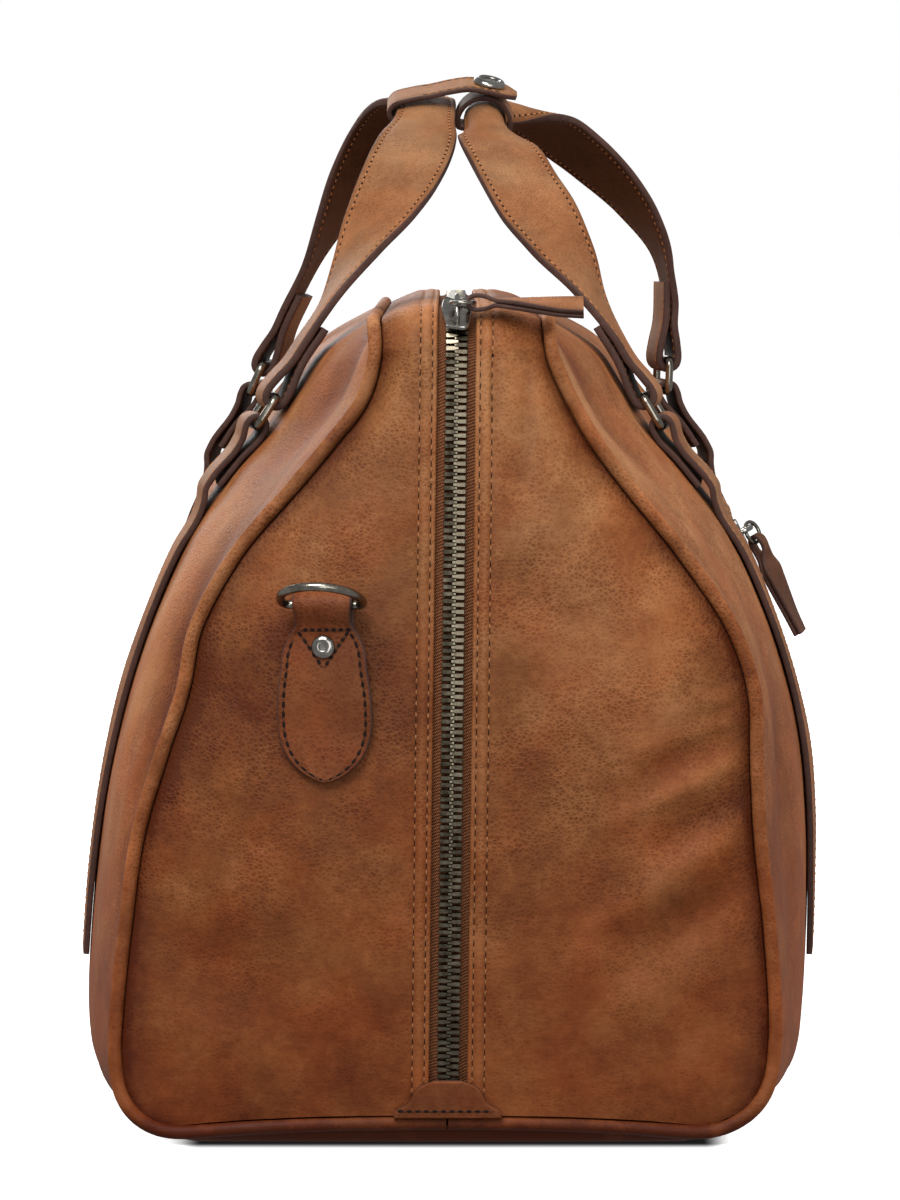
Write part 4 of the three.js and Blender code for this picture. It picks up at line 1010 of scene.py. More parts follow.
STITCH = {"length": 1.5, "radius": 0.3, "sink": 0.05}
STITCH_RINGS = table(
    "along round up",
    (-0.5, 0.4, -0.8),
    (-0.4, 0.85, 0.1),
    (0, 1, 0.5),
    (0.4, 0.85, 0.1),
    (0.5, 0.4, -0.8),
)
STITCH_SIDES = 5
HOLE_SIZE = np.array([1.2, 0.66, 0.09])
HOLE_PROFILE = [(0.6, 0.9), (1.0, 0.0), (0.6, -0.9)]
HOLE_SIDES = 7
STRAP_PITCH = 3.0
STRAP_HOLE = 0.5


def stitch_mesh():
    turn = full_turn(STITCH_SIDES)
    rings = []
    for row in STITCH_RINGS:
        reach, up = STITCH["radius"] * row["round"], STITCH["radius"] * row["up"]
        x = np.full(len(turn), row["along"] * STITCH["length"])
        rings.append(np.column_stack([x, reach * np.cos(turn), reach * np.sin(turn) + up]))
    return loft(np.array(rings))


def hole_mesh(share):
    verts, faces = lathe(HOLE_PROFILE, HOLE_SIDES)
    return verts * HOLE_SIZE * np.array([share, 1, 1]), faces


def stitch_frames(points, normals, count, offset):
    """Even places on a line, with the line's heading and the face's normal there."""
    lengths = travelled(points)
    at = (np.arange(count) + offset) * lengths[-1] / count

    def read(values):
        return np.column_stack([np.interp(at, lengths, axis) for axis in values.T])

    headings = unit(read(np.gradient(points, lengths, axis=0)))
    up = read(normals)
    up = unit(up - headings * np.sum(up * headings, axis=1, keepdims=True))
    return read(points), headings, np.cross(up, headings), up


def stitch_row(points, normals, pitch=STITCH_PITCH, hole=1.0):
    """A row of stitches on a line: thread, and dark discs between that paint the shade in the needle
    holes.
    """
    count = max(2, round(travelled(points)[-1] / pitch))
    sunk = points - normals * STITCH["sink"]
    thread = scattered(stitch_mesh(), *stitch_frames(sunk, normals, count, 0.5))
    holes = scattered(hole_mesh(hole), *stitch_frames(points, normals, count, 0.0))
    return thread, holes


def stitches(name, rows, slot, thread=None):
    threads, holes = (joined(*parts) for parts in zip(*rows))
    zones = np.repeat([0, 1], [len(threads[1]), len(holes[1])])
    return piece(name, joined(threads, holes), [thread or THREAD, HOLE_SHADE], slot, zones=zones)


# Panels, seams and zip


def rolled(outer, inner, axis, at_end):
    """Both faces of a panel with one edge rolled in beside the seam."""
    faces = [np.moveaxis(grid, axis, 0) for grid in (outer, inner)]
    if not at_end:
        faces = [grid[::-1] for grid in faces]
    top, under = faces
    onward, down = unit(top[-1] - top[-2]), unit(under[-1] - top[-1])
    for row in SEAM_ROLL:
        drop, over = down * row["down"], onward * row["onward"]
        tucked = onward * (row["onward"] - SEAM_FOLDED)
        faces[0] = np.concatenate([faces[0], [top[-1] + over + drop]])
        faces[1] = np.concatenate([faces[1], [under[-1] + tucked + drop]])
    if not at_end:
        faces = [grid[::-1] for grid in faces]
    return [np.moveaxis(grid, 0, axis) for grid in faces]


def seam_tone(distance):
    return -SEAM_SHADE["depth"] * np.exp(-np.maximum(distance, 0) / SEAM_SHADE["reach"])


def panel_piece(node, outer, tone, edges, look, keep=None):
    """A leather panel whose listed edges roll into seams."""
    inner = outer - WALL * grid_normals(outer)
    for axis, at_end in edges:
        outer, inner = rolled(outer, inner, axis, at_end)
        pad = [(0, 0), (0, 0)]
        pad[axis] = (0, len(SEAM_ROLL)) if at_end else (len(SEAM_ROLL), 0)
        tone = np.pad(tone, pad, mode="edge")
        if keep is not None:
            keep = np.pad(keep, pad, constant_values=True)
    verts, faces, used = shell(outer, inner, keep)
    tones = np.concatenate([tone.ravel(), tone.ravel()])[used]
    return dress(node, (verts, faces), [look], tone=tones)


# Painted shade in hollows and painted light on ridges of creases and swell
def surface_painted_shade(crease, swell):
    return PAINTED_SHADE_BY_HEIGHT["crease"] * crease + PAINTED_SHADE_BY_HEIGHT["swell"] * swell


def top_edge_rows(side, shares):
    """The row at which a side panel stops short of the top seam, for each share."""
    seam = seam_point(side, 1.0)
    low, high = np.full(len(shares), 1 - 1 / LAST_ROW), np.ones(len(shares))
    for _ in range(HALVINGS):
        middle = (low + high) / 2
        point = side_point(side, middle, shares)
        short = np.hypot(point[:, 0] - seam[0], point[:, 2] - seam[2]) > SEAM_INSET
        low, high = np.where(short, middle, low), np.where(short, high, middle)
    return low


def side_grid(side, shares, rows):
    """A side panel's face with its creases and swell, and its tone."""
    last = top_edge_rows(side, shares)
    bend = 1 - 1 / LAST_ROW
    above = bend + (rows[None] - bend) * LAST_ROW * (last[:, None] - bend)
    stretch = np.where(rows[None] < bend, rows[None], above)
    smooth_face = side_point(side, stretch, np.broadcast_to(shares[:, None], stretch.shape))
    along, z = smooth_face[..., 1], smooth_face[..., 2]
    from_middle = np.abs(shares[:, None])
    fade = (1 - from_middle ** FADE["side_creases"]) * (1 - smooth(rows[None], bend, 1))
    pressed = bell(np.abs(along), HANDLE_Y, UNDER_HANDLE_TAB["half"], 4)
    under_tab = 1 - UNDER_HANDLE_TAB["calm"] * pressed
    crease = fold_height(SIDE_CREASES, side, along, z)
    swell = surface_waves(smooth_face)
    lift = fade * under_tab * (crease + swell)
    face = smooth_face + lift[..., None] * grid_normals(smooth_face)
    fold = fold_height(PAINT_SHADED_FOLDS, side, along, z)
    # Painted light and shade from height: ridges paler, folds and creases darker
    tone = NEUTRAL_TONE + PAINTED_SHADE_BY_HEIGHT["side_fold"] * fold + surface_painted_shade(crease, swell)
    tone += seam_tone((1 - from_middle) * HALF_LENGTH) + seam_tone(z - SEAM_SHADE_Z)
    # Broad painted light and painted shade on the side panel
    return face, tone + fold_height(SIDE_PAINTED_LIGHT_AND_SHADE, side, along, z)


def even_rows():
    """Rows up a side panel, evenly spaced on its face."""
    dense = np.linspace(0, 1, DENSE)
    lengths = travelled(side_point(1, dense, np.zeros(len(dense))))
    return np.interp(np.linspace(0, lengths[-1], int(lengths[-1] * SIDE_ROWS_PER_MM)), lengths, dense)


ALL_EDGES = ((1, False), (1, True), (0, False), (0, True))


def side_panel_left():
    face, tone = side_grid(-1, eased(SIDE_STEPS), even_rows())
    panel_piece("side_panel_left", face, tone, ALL_EDGES, SIDE_PANEL)


def side_panel_right():
    """The right side, with the slot of its pocket zip."""
    half, lip = POCKET["slot"] / 2, POCKET["slot"] / 2 + SLOT_LIP
    rows = even_rows()
    slot_rows = row_at(POCKET["z"] + np.array([-lip, -half, half, lip]) * POCKET["rise"])
    outside = (rows < slot_rows[0]) | (rows > slot_rows[-1])
    rows = np.sort(np.concatenate([rows[outside], slot_rows]))
    slot_share = POCKET["half"] / seam_reach(POCKET["z"], SEAM_INSET)
    shares = eased(SIDE_STEPS)
    clear = np.abs(np.abs(shares) - slot_share) > SLOT_CLEAR
    shares = np.sort(np.concatenate([shares[clear], [-slot_share, slot_share]]))
    face, tone = side_grid(1, shares, rows)
    mid_shares, mid_rows = (shares[1:] + shares[:-1]) / 2, (rows[1:] + rows[:-1]) / 2
    in_slot = (mid_rows > slot_rows[1]) & (mid_rows < slot_rows[2])
    keep = ~((np.abs(mid_shares) < slot_share)[:, None] & in_slot[None])
    panel_piece("side_panel_right", face, tone, ALL_EDGES, SIDE_PANEL, keep)


# Distances from the zip edge at which the gusset has its first columns, and shares of the rest
GUSSET_NEAR_ZIP = (0, 0.15, 0.5, 1.0, 1.35, 1.7, 2.05, 2.5, 3.1, 3.75)
GUSSET_NEAR_ZIP += (4.4, 5.0, 5.45, 5.8, 6.15, 6.7, 7.6, 8.6, 9.6)
GUSSET_REST = np.linspace(0, 1, 25)[1:] ** 0.95


def gusset_grid(side):
    """The gusset's face beside the zip and out to the seam, its tone, and lines for the stitches."""
    zips, edges, folds = gusset_rows(side)
    width = np.abs(edges[:, 0] - zips[:, 0])[:, None]
    near = np.array(GUSSET_NEAR_ZIP)[None]
    rest = lerp(near[:, -1:], width, GUSSET_REST[None])
    distance = np.concatenate([np.repeat(near, len(zips), 0), rest], axis=1)
    share = distance / width
    blend = (1 - share**CROWN_POWER)[..., None]
    face = lerp(edges[:, None], zips[:, None], blend)
    face[..., 0] = lerp(zips[:, :1], edges[:, :1], share)
    x, z = np.abs(face[..., 0]), face[..., 2]
    near_end = folds[:, None]
    fold = near_end * (1 - share ** FADE["end_folds"]) * fold_height(END_FOLDS, side, x, z)
    face[..., 1] -= fold
    normals = grid_normals(face)
    relief = sum(row["height"] * bell(distance, row["place"], row["reach"]) for row in ZIP_RELIEF)
    tuck = np.clip(1 - distance / ZIP_EDGE_ROUND, 0, 1)
    relief = relief - ZIP_EDGE_ROUND * (1 - np.sqrt(1 - tuck**2))
    crease = near_end * fold_height(END_CREASES, side, x, z)
    swell = surface_waves(face)
    pressed = bell(x, D_TAB["x"], UNDER_D_TAB["half"], 4)
    pressed = pressed * bell(z, UNDER_D_TAB["z"], UNDER_D_TAB["half_height"], 4)
    free = (1 - share ** FADE["end_creases"]) * (1 - UNDER_D_TAB["calm"] * pressed)
    swelling, creasing = (smooth(distance, *ZIP_CALM[key]) for key in ("swell", "crease"))
    lift = relief + free * (swelling * swell + creasing * crease)
    # Painted light and shade from height: ridges paler, folds and creases darker
    tone = NEUTRAL_TONE + PAINTED_SHADE_BY_HEIGHT["end_fold"] * fold + surface_painted_shade(crease, swell)
    # Painted shade beside the seam, and broad painted light and painted shade on the near end
    tone += seam_tone(width - distance) + near_end * fold_height(END_PAINTED_LIGHT_AND_SHADE, side, x, z)
    # Painted highlight along the zip's rounded edge and the raised band between its stitch rows
    tone += sum(row["tone"] * bell(distance, row["place"], row["reach"]) for row in ZIP_PAINTED_HIGHLIGHT)
    return face + lift[..., None] * normals, tone, normals


def gussets():
    rows = []
    for side in (-1, 1):
        face, tone, normals = gusset_grid(side)
        panel_piece("gusset_" + SIDE_NAMES[side], face, tone, ((1, True),), PANEL)
        for distance in ZIP_STITCHES:
            k = GUSSET_NEAR_ZIP.index(distance)
            rows.append(stitch_row(face[2:-2, k], normals[2:-2, k]))
    stitches("gusset_stitches", rows, "panel_leather")


def bottom_panel():
    floor_seam = SECTIONS[0]
    share, across = eased(BOTTOM["steps"][0])[:, None], eased(BOTTOM["steps"][1])[None]
    crown = 1 - np.abs(share) ** CROWN_POWER
    left = lerp(floor_seam["left"], floor_seam["mid_left"], crown)
    right = lerp(floor_seam["right"], floor_seam["mid_right"], crown)
    x = across * (np.where(across < 0, left, right) - GAP)
    seam = np.where(across < 0, floor_seam["left"], floor_seam["right"])
    bow = 1 - np.minimum(1, np.abs(x) / seam) ** CROWN_POWER
    reach = seam_reach(floor_seam["z"], SEAM_INSET) + END_CROWN["floor"] * bow
    y = share * reach
    arch = floor_seam["z"] - PIPING_RADIUS / 2 + FLOOR_ARCH * bow
    end_lift = arch * np.maximum(0, (np.abs(y) - reach + BOTTOM["lift"]) / BOTTOM["lift"]) ** 2
    side_share = np.maximum(0, (np.abs(across) - BOTTOM["flat"]) / (1 - BOTTOM["flat"]))
    z = np.maximum(end_lift, (floor_seam["z"] - GAP / 2) * side_share**2)
    grid = np.stack([x, y, z], -1)
    inner = grid * (1 - BOTTOM_SLANT * z[..., None]) + WALL * UP
    verts, faces, _ = shell(grid, inner)
    # The bottom is darkened with painted shade
    tone = np.full(len(verts), NEUTRAL_TONE + BOTTOM["tone"])
    dress("bottom_panel", (verts, faces), [PANEL], tone=tone)


def piping_line(side):
    """The corded seam from its joint under the near zip to the one under the far zip."""
    corner = seam_point(side, 0.0)
    share = np.linspace(*CORD_FOOT, CORD_POINTS["foot"])
    bow = 1 - share**CROWN_POWER
    y, z = corner[1] - END_CROWN["floor"] * bow, corner[2] + FLOOR_ARCH * bow
    foot = np.column_stack([lerp(zip_x(0), corner[0], share), y, z])
    up = seam_point(side, np.linspace(0, (LAST_ROW - 1) / LAST_ROW, CORD_POINTS["up"]))
    bend = np.sin(np.linspace(0, np.pi / 2, CORD_POINTS["bend"])[1:])
    turn = seam_point(side, (LAST_ROW - 1 + bend) / LAST_ROW)
    top = level_run(turn[-1], np.linspace(*CORD_TOP, CORD_POINTS["top"]))
    line = resampled(np.concatenate([foot, up, turn, top]), CORD_STEP)
    corner_at = np.argmin(np.linalg.norm(line - corner, axis=1))
    low, high = corner_at - CORNER_STEPS[0], corner_at + CORNER_STEPS[1]
    for _ in range(CORNER_PASSES):
        line[low:high] = (line[low - 1 : high - 1] + line[low + 1 : high + 1]) / 2
    return over_the_top(line)


def piping(side):
    line = piping_line(side)
    swell = waves(line, CORD_SWELL["length"], CORD_SWELL["seed"] + side)
    mesh = tube(line, PIPING_RADIUS * (1 + CORD_SWELL["share"] * swell), 12)
    # Painted shade on the cord near the floor, with random tone along it
    low = 1 - smooth(mesh[0][:, 2], CORD_TONE_AND_PAINTED_SHADE["from"], CORD_TONE_AND_PAINTED_SHADE["to"])
    wave = waves(mesh[0], CORD_TONE_AND_PAINTED_SHADE["length"], CORD_TONE_AND_PAINTED_SHADE["seed"])
    shade = CORD_TONE_AND_PAINTED_SHADE["lift"] + CORD_TONE_AND_PAINTED_SHADE["wave"] * wave - CORD_TONE_AND_PAINTED_SHADE["floor"] * low
    dress("piping_" + SIDE_NAMES[side], mesh, [PIPING], tone=NEUTRAL_TONE + shade)


def zip_line():
    """The middle of the zip from floor to floor, with its normals."""
    zips, _, _ = gusset_rows(1)
    line = zips[ZIP_MARGIN:-ZIP_MARGIN].copy()
    line[:, 0] = zip_x(line[:, 2])
    heading = unit(np.gradient(line, axis=0))
    return line, unit(np.cross(X_AXIS, heading))


def tape_shell(grid, normals, top, bottom, across_mm):
    """A woven tape under the leather, with its weave measured in millimetres."""
    verts, faces, _ = shell(grid - top * normals, grid - bottom * normals)
    along = travelled(grid[:, 0])
    flat = np.stack(np.broadcast_arrays(across_mm[None], along[:, None]), -1).reshape(-1, 2)
    return (verts, faces), np.concatenate([flat, flat])


def tooth_mesh():
    """One zip tooth: x across the zip, y along it and z out of it."""
    corner = point_mirrored(TOOTH_CORNERS)
    rings = []
    for row in TOOTH:
        middle, half = -(row["top"] + row["bottom"]) / 2, (row["bottom"] - row["top"]) / 2
        x = np.full(len(corner), row["x"])
        rings.append(np.column_stack([x, corner[:, 0] * row["half"], middle + corner[:, 1] * half]))
    return loft(np.array(rings))


def chain_mesh(line, normals, scale=1.0):
    """Two columns of teeth that mesh with each other along a line."""
    count = round(travelled(line)[-1] / (TOOTH_PITCH * scale))
    right = tooth_mesh()
    sides = []
    for sign, offset in TOOTH_OFFSETS.items():
        verts, faces = right[0] * np.array([sign, 1, 1]) * scale, right[1]
        mesh = (verts, faces if sign > 0 else [face[::-1] for face in faces])
        places, headings, _, up = stitch_frames(line, normals, count, offset)
        sides.append(scattered(mesh, places, np.cross(headings, up), headings, up))
    return joined(*sides)


def main_zip():
    line, normals = zip_line()
    across = np.linspace(-TAPE["half"], TAPE["half"], TAPE["columns"])
    facing_up = normals[::2, None]
    bead = TAPE_BEAD["rise"] * bell(np.abs(across), TAPE_BEAD["at"], TAPE_BEAD["reach"])
    grid = line[::2, None] + across[None, :, None] * X_AXIS + bead[None, :, None] * facing_up
    mesh, uv = tape_shell(grid, facing_up, TAPE["top"], TAPE["bottom"], across)
    dress("zip_tape", mesh, [WEAVE], uv=uv)
    dress("zip_chain", chain_mesh(line, normals), [ZIP_METAL])


def rounded_pad(grid, lift, thick, edge=1.0):
    """A leather patch on a face: its top rounds off towards its rim."""
    normals = grid_normals(grid)
    rows, columns = grid.shape[:2]
    i, j = np.arange(rows)[:, None], np.arange(columns)[None]
    step = np.minimum(np.minimum(i, rows - 1 - i), np.minimum(j, columns - 1 - j))
    drop = edge * np.array(PAD_DROP)[np.minimum(step, len(PAD_DROP) - 1)]
    top = grid + (lift + thick - drop)[..., None] * normals
    return top, grid + lift * normals, normals


def zip_patch(end):
    """The bell-shaped patch over the zip's end, and the row of stitches along its foot."""
    rim_z, rim_share = PATCH_STEPS["rim_z"], PATCH_STEPS["rim_share"]
    heights = column(ZIP_PATCH_OUTLINE, "z")
    z = np.linspace(heights[0], heights[-1], PATCH_STEPS["rows"])
    z = np.sort(np.concatenate([z, [heights[0] + rim_z, heights[-1] - rim_z]]))
    half = through(heights, column(ZIP_PATCH_OUTLINE, "half"), z)
    share = np.linspace(-1, 1, PATCH_STEPS["columns"])
    share = np.sort(np.concatenate([share, [-rim_share, rim_share]]))
    grid = facing(end, end_at(zip_x(z)[:, None] + half[:, None] * share[None], z[:, None]))
    top, under, _ = rounded_pad(grid, ZIP_PATCH["lift"], ZIP_PATCH["thick"])
    verts, faces, _ = shell(top, under)
    cells = (len(z) - 1) * (len(share) - 1)
    zones = np.ones(len(faces))
    zones[:cells] = 0
    dress("zip_patch_" + end, (verts, faces), [TAB_FACE, EDGE], zones=zones)
    row_z = np.full(ZIP_PATCH["points"], heights[0] + ZIP_PATCH["stitch"])
    reach = half[0] - ZIP_PATCH["stitch"]
    line = facing(end, end_at(zip_x(row_z) + np.linspace(-reach, reach, len(row_z)), row_z))
    out = np.array([0, END_SIGNS[end], 0.0])
    lifted = line + out * (ZIP_PATCH["lift"] + ZIP_PATCH["thick"])
    return stitch_row(lifted, np.repeat(out[None], len(line), 0), ZIP_PATCH["pitch"])


# Straps


EDGE_ROUND = table(
    "inset lift",
    (0.5, 1.0),
    (0.22, 0.9),
    (0.05, 0.6),
    (0.0, 0.0),
    (0.05, -0.6),
    (0.22, -0.9),
    (0.5, -1.0),
)
# Steps across the flat of a strap, as shares of its half width
FLAT_SHARES = (0, 0.3, 0.55)
# Groove under a row of stitches: place from the row, and share of its depth
GROOVE = table("place deep", (0.8, 0), (0.35, 1), (-0.35, 1), (-0.8, 0))
STRAP_TONE = {"edge": -0.16, "inside": 0.24, "reach": 3.5, "wave": 0.08, "length": 30, "seed": 4}
# Least distance from the middle for each step of the outline, which keeps a narrow tip open
TIP_STEP = 0.03
FACE_ZONE, EDGE_ZONE, BACK_ZONE = 0, 1, 2


class Strip:
    """A strap's middle line in fine steps: place, directions, width and curl."""

    def __init__(self, stations, step=1.2):
        rough = np.array([station["place"] for station in stations])
        lengths = travelled(rough)
        at = np.linspace(0, lengths[-1], int(lengths[-1] / step) + 2)

        def read(key):
            return through(lengths, [station.get(key, 0.0) for station in stations], at)

        self.place = read("place")
        heading = unit(np.gradient(self.place, axis=0))
        across = read("across")
        self.across = unit(across - heading * np.sum(across * heading, axis=1, keepdims=True))
        self.face = np.cross(self.across, heading)
        self.width = read("width")
        self.curl = np.radians(np.maximum(read("curl"), 0.1))

    def at(self, u, lift):
        """Points at distances across the strap and off its middle, and the normals there."""
        radius = (self.width / self.curl)[:, None]
        angle = u / radius
        across, face = self.across[:, None], self.face[:, None]
        reach = radius + lift
        points = self.place[:, None] + across * (reach * np.sin(angle))[..., None]
        points = points + face * (reach * np.cos(angle) - radius)[..., None]
        return points, across * np.sin(angle)[..., None] + face * np.cos(angle)[..., None]

    def line(self, inset, lift):
        """A line along the strap at an inset from each edge in turn, on its face or its back."""
        lines = []
        for sign in (-1, 1):
            u = sign * np.maximum(self.width / 2 - inset, 0.0)
            points, normals = self.at(u[:, None], lift)
            lines.append((points[:, 0], normals[:, 0] * np.sign(lift)))
        return lines


def strap_section(stitch, groove):
    """Half of a strap's outline: share of the half width, inset from the edge and lift."""
    face = [(share, 0.0, 1.0) for share in FLAT_SHARES]
    back = [(share, 0.0, -1.0) for share in FLAT_SHARES[::-1]]
    if stitch:
        dips = [(1.0, stitch + row["place"], 1 - groove * row["deep"]) for row in GROOVE]
        face += dips
        back = [(share, inset, -lift) for share, inset, lift in dips[::-1]] + back
    return face, [(1.0, row["inset"], row["lift"]) for row in EDGE_ROUND], back


def strap_mesh(strip, thick, stitch=0.0, groove=0.14):
    """A strap with rounded edges, the zone of each face, and its tone."""
    face, edge, back = strap_section(stitch, groove)
    half = face + edge + back
    kinds = [FACE_ZONE] * len(face) + [EDGE_ZONE] * (len(edge) - 1) + [BACK_ZONE] * len(back)
    rank = np.arange(len(half))
    centre_rank = np.minimum(rank, len(half) - 1 - rank) * TIP_STEP
    share, inset, lift = (np.array(values) for values in zip(*half))
    u = np.maximum(share * strip.width[:, None] / 2 - inset, centre_rank)
    whole = np.concatenate([u, -u[:, -2:0:-1]], axis=1)
    lifts = np.concatenate([lift, lift[-2:0:-1]]) * thick / 2
    rings, _ = strip.at(whole, lifts[None])
    verts, faces = loft(rings)
    ring_zones = np.array(kinds + kinds[::-1])
    zones = np.concatenate([np.tile(ring_zones, len(rings) - 1), [EDGE_ZONE, EDGE_ZONE]])
    inside = np.clip((strip.width[:, None] / 2 - np.abs(whole)) / STRAP_TONE["reach"], 0, 1)
    tone = NEUTRAL_TONE + STRAP_TONE["edge"] + STRAP_TONE["inside"] * inside
    wave = waves(verts, STRAP_TONE["length"], STRAP_TONE["seed"])
    return (verts, faces), zones, tone.ravel() + STRAP_TONE["wave"] * wave


def run_down(face_at, from_z, to_z):
    """A run down the bag's face: place, cross, up and outward directions at distances from its top."""
    tiny = 0.5
    heights = np.linspace(from_z, to_z, 61)
    lengths = travelled(face_at(0, heights))

    def at(down):
        z = np.interp(down, lengths, heights)
        place = face_at(0, z)
        across = unit(face_at(tiny, z) - face_at(-tiny, z))
        rise = face_at(0, z + tiny) - face_at(0, z - tiny)
        up = unit(rise - across * (rise @ across))
        out = np.cross(across, up)
        return place, across, up, out if out @ (place - BAG_MIDDLE) > 0 else -out

    return at, lengths[-1]


def bar_offset(thick):
    return TAB_GAP + thick + LOOP_INNER


def looped_tab(run, sizes, width_at, downs):
    """Stations of a tab that starts under itself, loops over a bar and lies down the face."""
    thick, fold = sizes["thick"], sizes["fold"]
    back, front = TAB_GAP + sizes["pressed"] / 2, TAB_GAP + 1.5 * thick + TAB_REST
    bar, radius = bar_offset(thick), LOOP_INNER + thick / 2

    def offset_at(down):
        if down < fold:
            return lerp(bar + radius, front, smooth(down, 0, TAB_OFF_BAR))
        start = fold + TAB_EASE
        return lerp(front, back, smooth(down, start, start + sizes["settle"]))

    def station(down, offset, lift=0.0):
        place, across, up, out = run(down)
        return {"place": place + out * offset + up * lift, "across": across, "width": width_at(down)}

    stations = [station(down, back) for down in (fold, fold / 2, TAB_EASE)]
    for angle in np.linspace(np.pi, 0, LOOP_TURNS):
        stations.append(station(0, bar + radius * math.cos(angle), radius * math.sin(angle)))
    for down in (*TAB_DOWNS, *(fold + more for more in TAB_AFTER_FOLD), *downs):
        stations.append(station(down, offset_at(down)))
    return stations


def side_run(side, end):
    def face_at(along, z):
        return side_at(side, END_SIGNS[end] * HANDLE_Y + along, z)

    return run_down(face_at, RING_Z, TAB["end"])


def end_run(end):
    def face_at(across, z):
        return facing(end, end_at(END_SIGNS[end] * (D_TAB["x"] + across), z))

    return run_down(face_at, D_TAB["bar_z"], D_TAB["end"])


def bar_centre(run, thick):
    place, _, _, out = run(0)
    return place + out * bar_offset(thick)


def outward(strip, faces_out):
    """Whether a strip's own face is the one that shows, near its far end."""
    return np.sum(strip.face[-1] * faces_out) > 0


def handle_tab(side, end):
    run, total = side_run(side, end)
    downs = np.linspace(TAB["fold"] + TAB_RUN["from"], total, TAB_RUN["count"])
    strip = Strip(looped_tab(run, TAB, lambda down: TAB["width"], downs))
    mesh, zones, tone = strap_mesh(strip, TAB["pressed"], STRAP["stitch"])
    shows = 1 if outward(strip, run(total)[3]) else -1
    materials = [STRAP_FACE, EDGE, BACK_WITH_PAINTED_SHADE][::shows]
    dress(f"handle_tab_{SIDE_NAMES[side]}_{end}", mesh, materials, zones=zones, tone=tone)
    start = int(len(strip.place) * TAB_RUN["stitch_from"])
    lines = strip.line(STRAP["stitch"], shows * (TAB["pressed"] / 2 - THREAD_DEPTH["tab"]))
    return [stitch_row(p[start:-3], n[start:-3], STRAP_PITCH, STRAP_HOLE) for p, n in lines]


def ring_frame(side, end, lean):
    run, _ = side_run(side, end)
    _, across, up, out = run(0)
    c, s = cos_sin(lean)
    bar = bar_centre(run, TAB["thick"])
    return {"bar": bar, "across": across, "up": up * c + out * s, "out": out * c - up * s}


def handle_ring(name, ring):
    """A rectangular ring bent from wire."""
    corner = RING["corner"]
    right, high = RING["inner"] / 2 + RING["wire"] - corner, RING["pitch"] - corner
    corners = ((right, high), (-right, high), (-right, corner), (right, corner))
    arcs = []
    for quarter, centre in enumerate(corners):
        turn = np.linspace(quarter, quarter + 1, LOOP_TURNS) * np.pi / 2
        arcs.append(np.array(centre) + corner * np.column_stack([np.cos(turn), np.sin(turn)]))
    flat = np.concatenate(arcs)
    line = ring["bar"] + flat[:, :1] * ring["across"] + flat[:, 1:] * ring["up"]
    dress(name, tube(line, RING["wire"], 16, ring["out"]), [RING_METAL])


def tilted(direction):
    x, y, z = direction
    c, s = cos_sin(GRIP_TILT)
    return np.array([x, y * c - z * s, y * s + z * c])


GRIP_ALONG = tilted(ALONG)


def grip_point(x, z):
    return GRIP_PIVOT + tilted(np.array([x, 0, z]) - GRIP_PIVOT)


def handle_frame(handle):
    c, s = cos_sin(handle["lean"])
    face = tilted((-handle["side"] * s, 0, c))
    return grip_point(handle["apex_x"], handle["apex_z"]), face, np.cross(GRIP_ALONG, face)


def grip_bend(handle):
    """The angle and the radius in which a handle's grip is curled."""
    bend = math.radians(handle["curl"])
    return bend, STRAP["grip"] / bend


def handle_loop(ring, across):
    """The strap end folded round the ring's upper bar."""
    sizes = {"radius": LOOP_INNER + STRAP["thick"] / 2, "flat": STRAP["thick"] / 2 + LOOP_REST}
    radius, flat = sizes["radius"], sizes["flat"]
    upper = ring["bar"] + ring["up"] * RING["pitch"]

    def at(rise, out):
        place = upper + ring["up"] * rise + ring["out"] * out
        return {"place": place, "across": across, "width": STRAP["width"]}

    angles = np.linspace(np.pi, 2 * np.pi, LOOP_TURNS)
    turns = [at(radius * math.sin(angle), radius * math.cos(angle)) for angle in angles]
    pinch = [(row["rise"], sizes[row["measure"]] + row["more"]) for row in LOOP_PINCH]
    back = [at(rise, -out) for rise, out in pinch]
    front = [at(rise, out) for rise, out in pinch[::-1]]
    return [at(FOLD_BACK, -flat), *back, *turns, *front, at(LEG_FROM, flat)]


def handle_leg(handle, foot, leg):
    """One leg of a handle from its ring to the grip."""
    apex, _, across = handle_frame(handle)
    a, b = foot["place"], foot["place"] + leg["ring"]["up"] * leg["rise"]
    c, d = apex + GRIP_ALONG * END_SIGNS[leg["end"]] * leg["reach"], apex
    stations = []
    for t in LEG_SHARES:
        place = (1 - t) ** 3 * a + 3 * t * (1 - t) ** 2 * b + 3 * t**2 * (1 - t) * c + t**3 * d
        twist = np.pi / 2 * smooth(t, *leg["twist"])
        grip = 1 - smooth(abs(place[1]), *GRIP_ZONE)
        stations.append(
            {
                "place": place,
                "across": foot["across"] * math.cos(twist) + across * math.sin(twist),
                "width": lerp(STRAP["width"], STRAP["grip"], grip),
                "curl": lerp(STRAP["flat_curl"], handle["curl"], grip),
            }
        )
    return stations


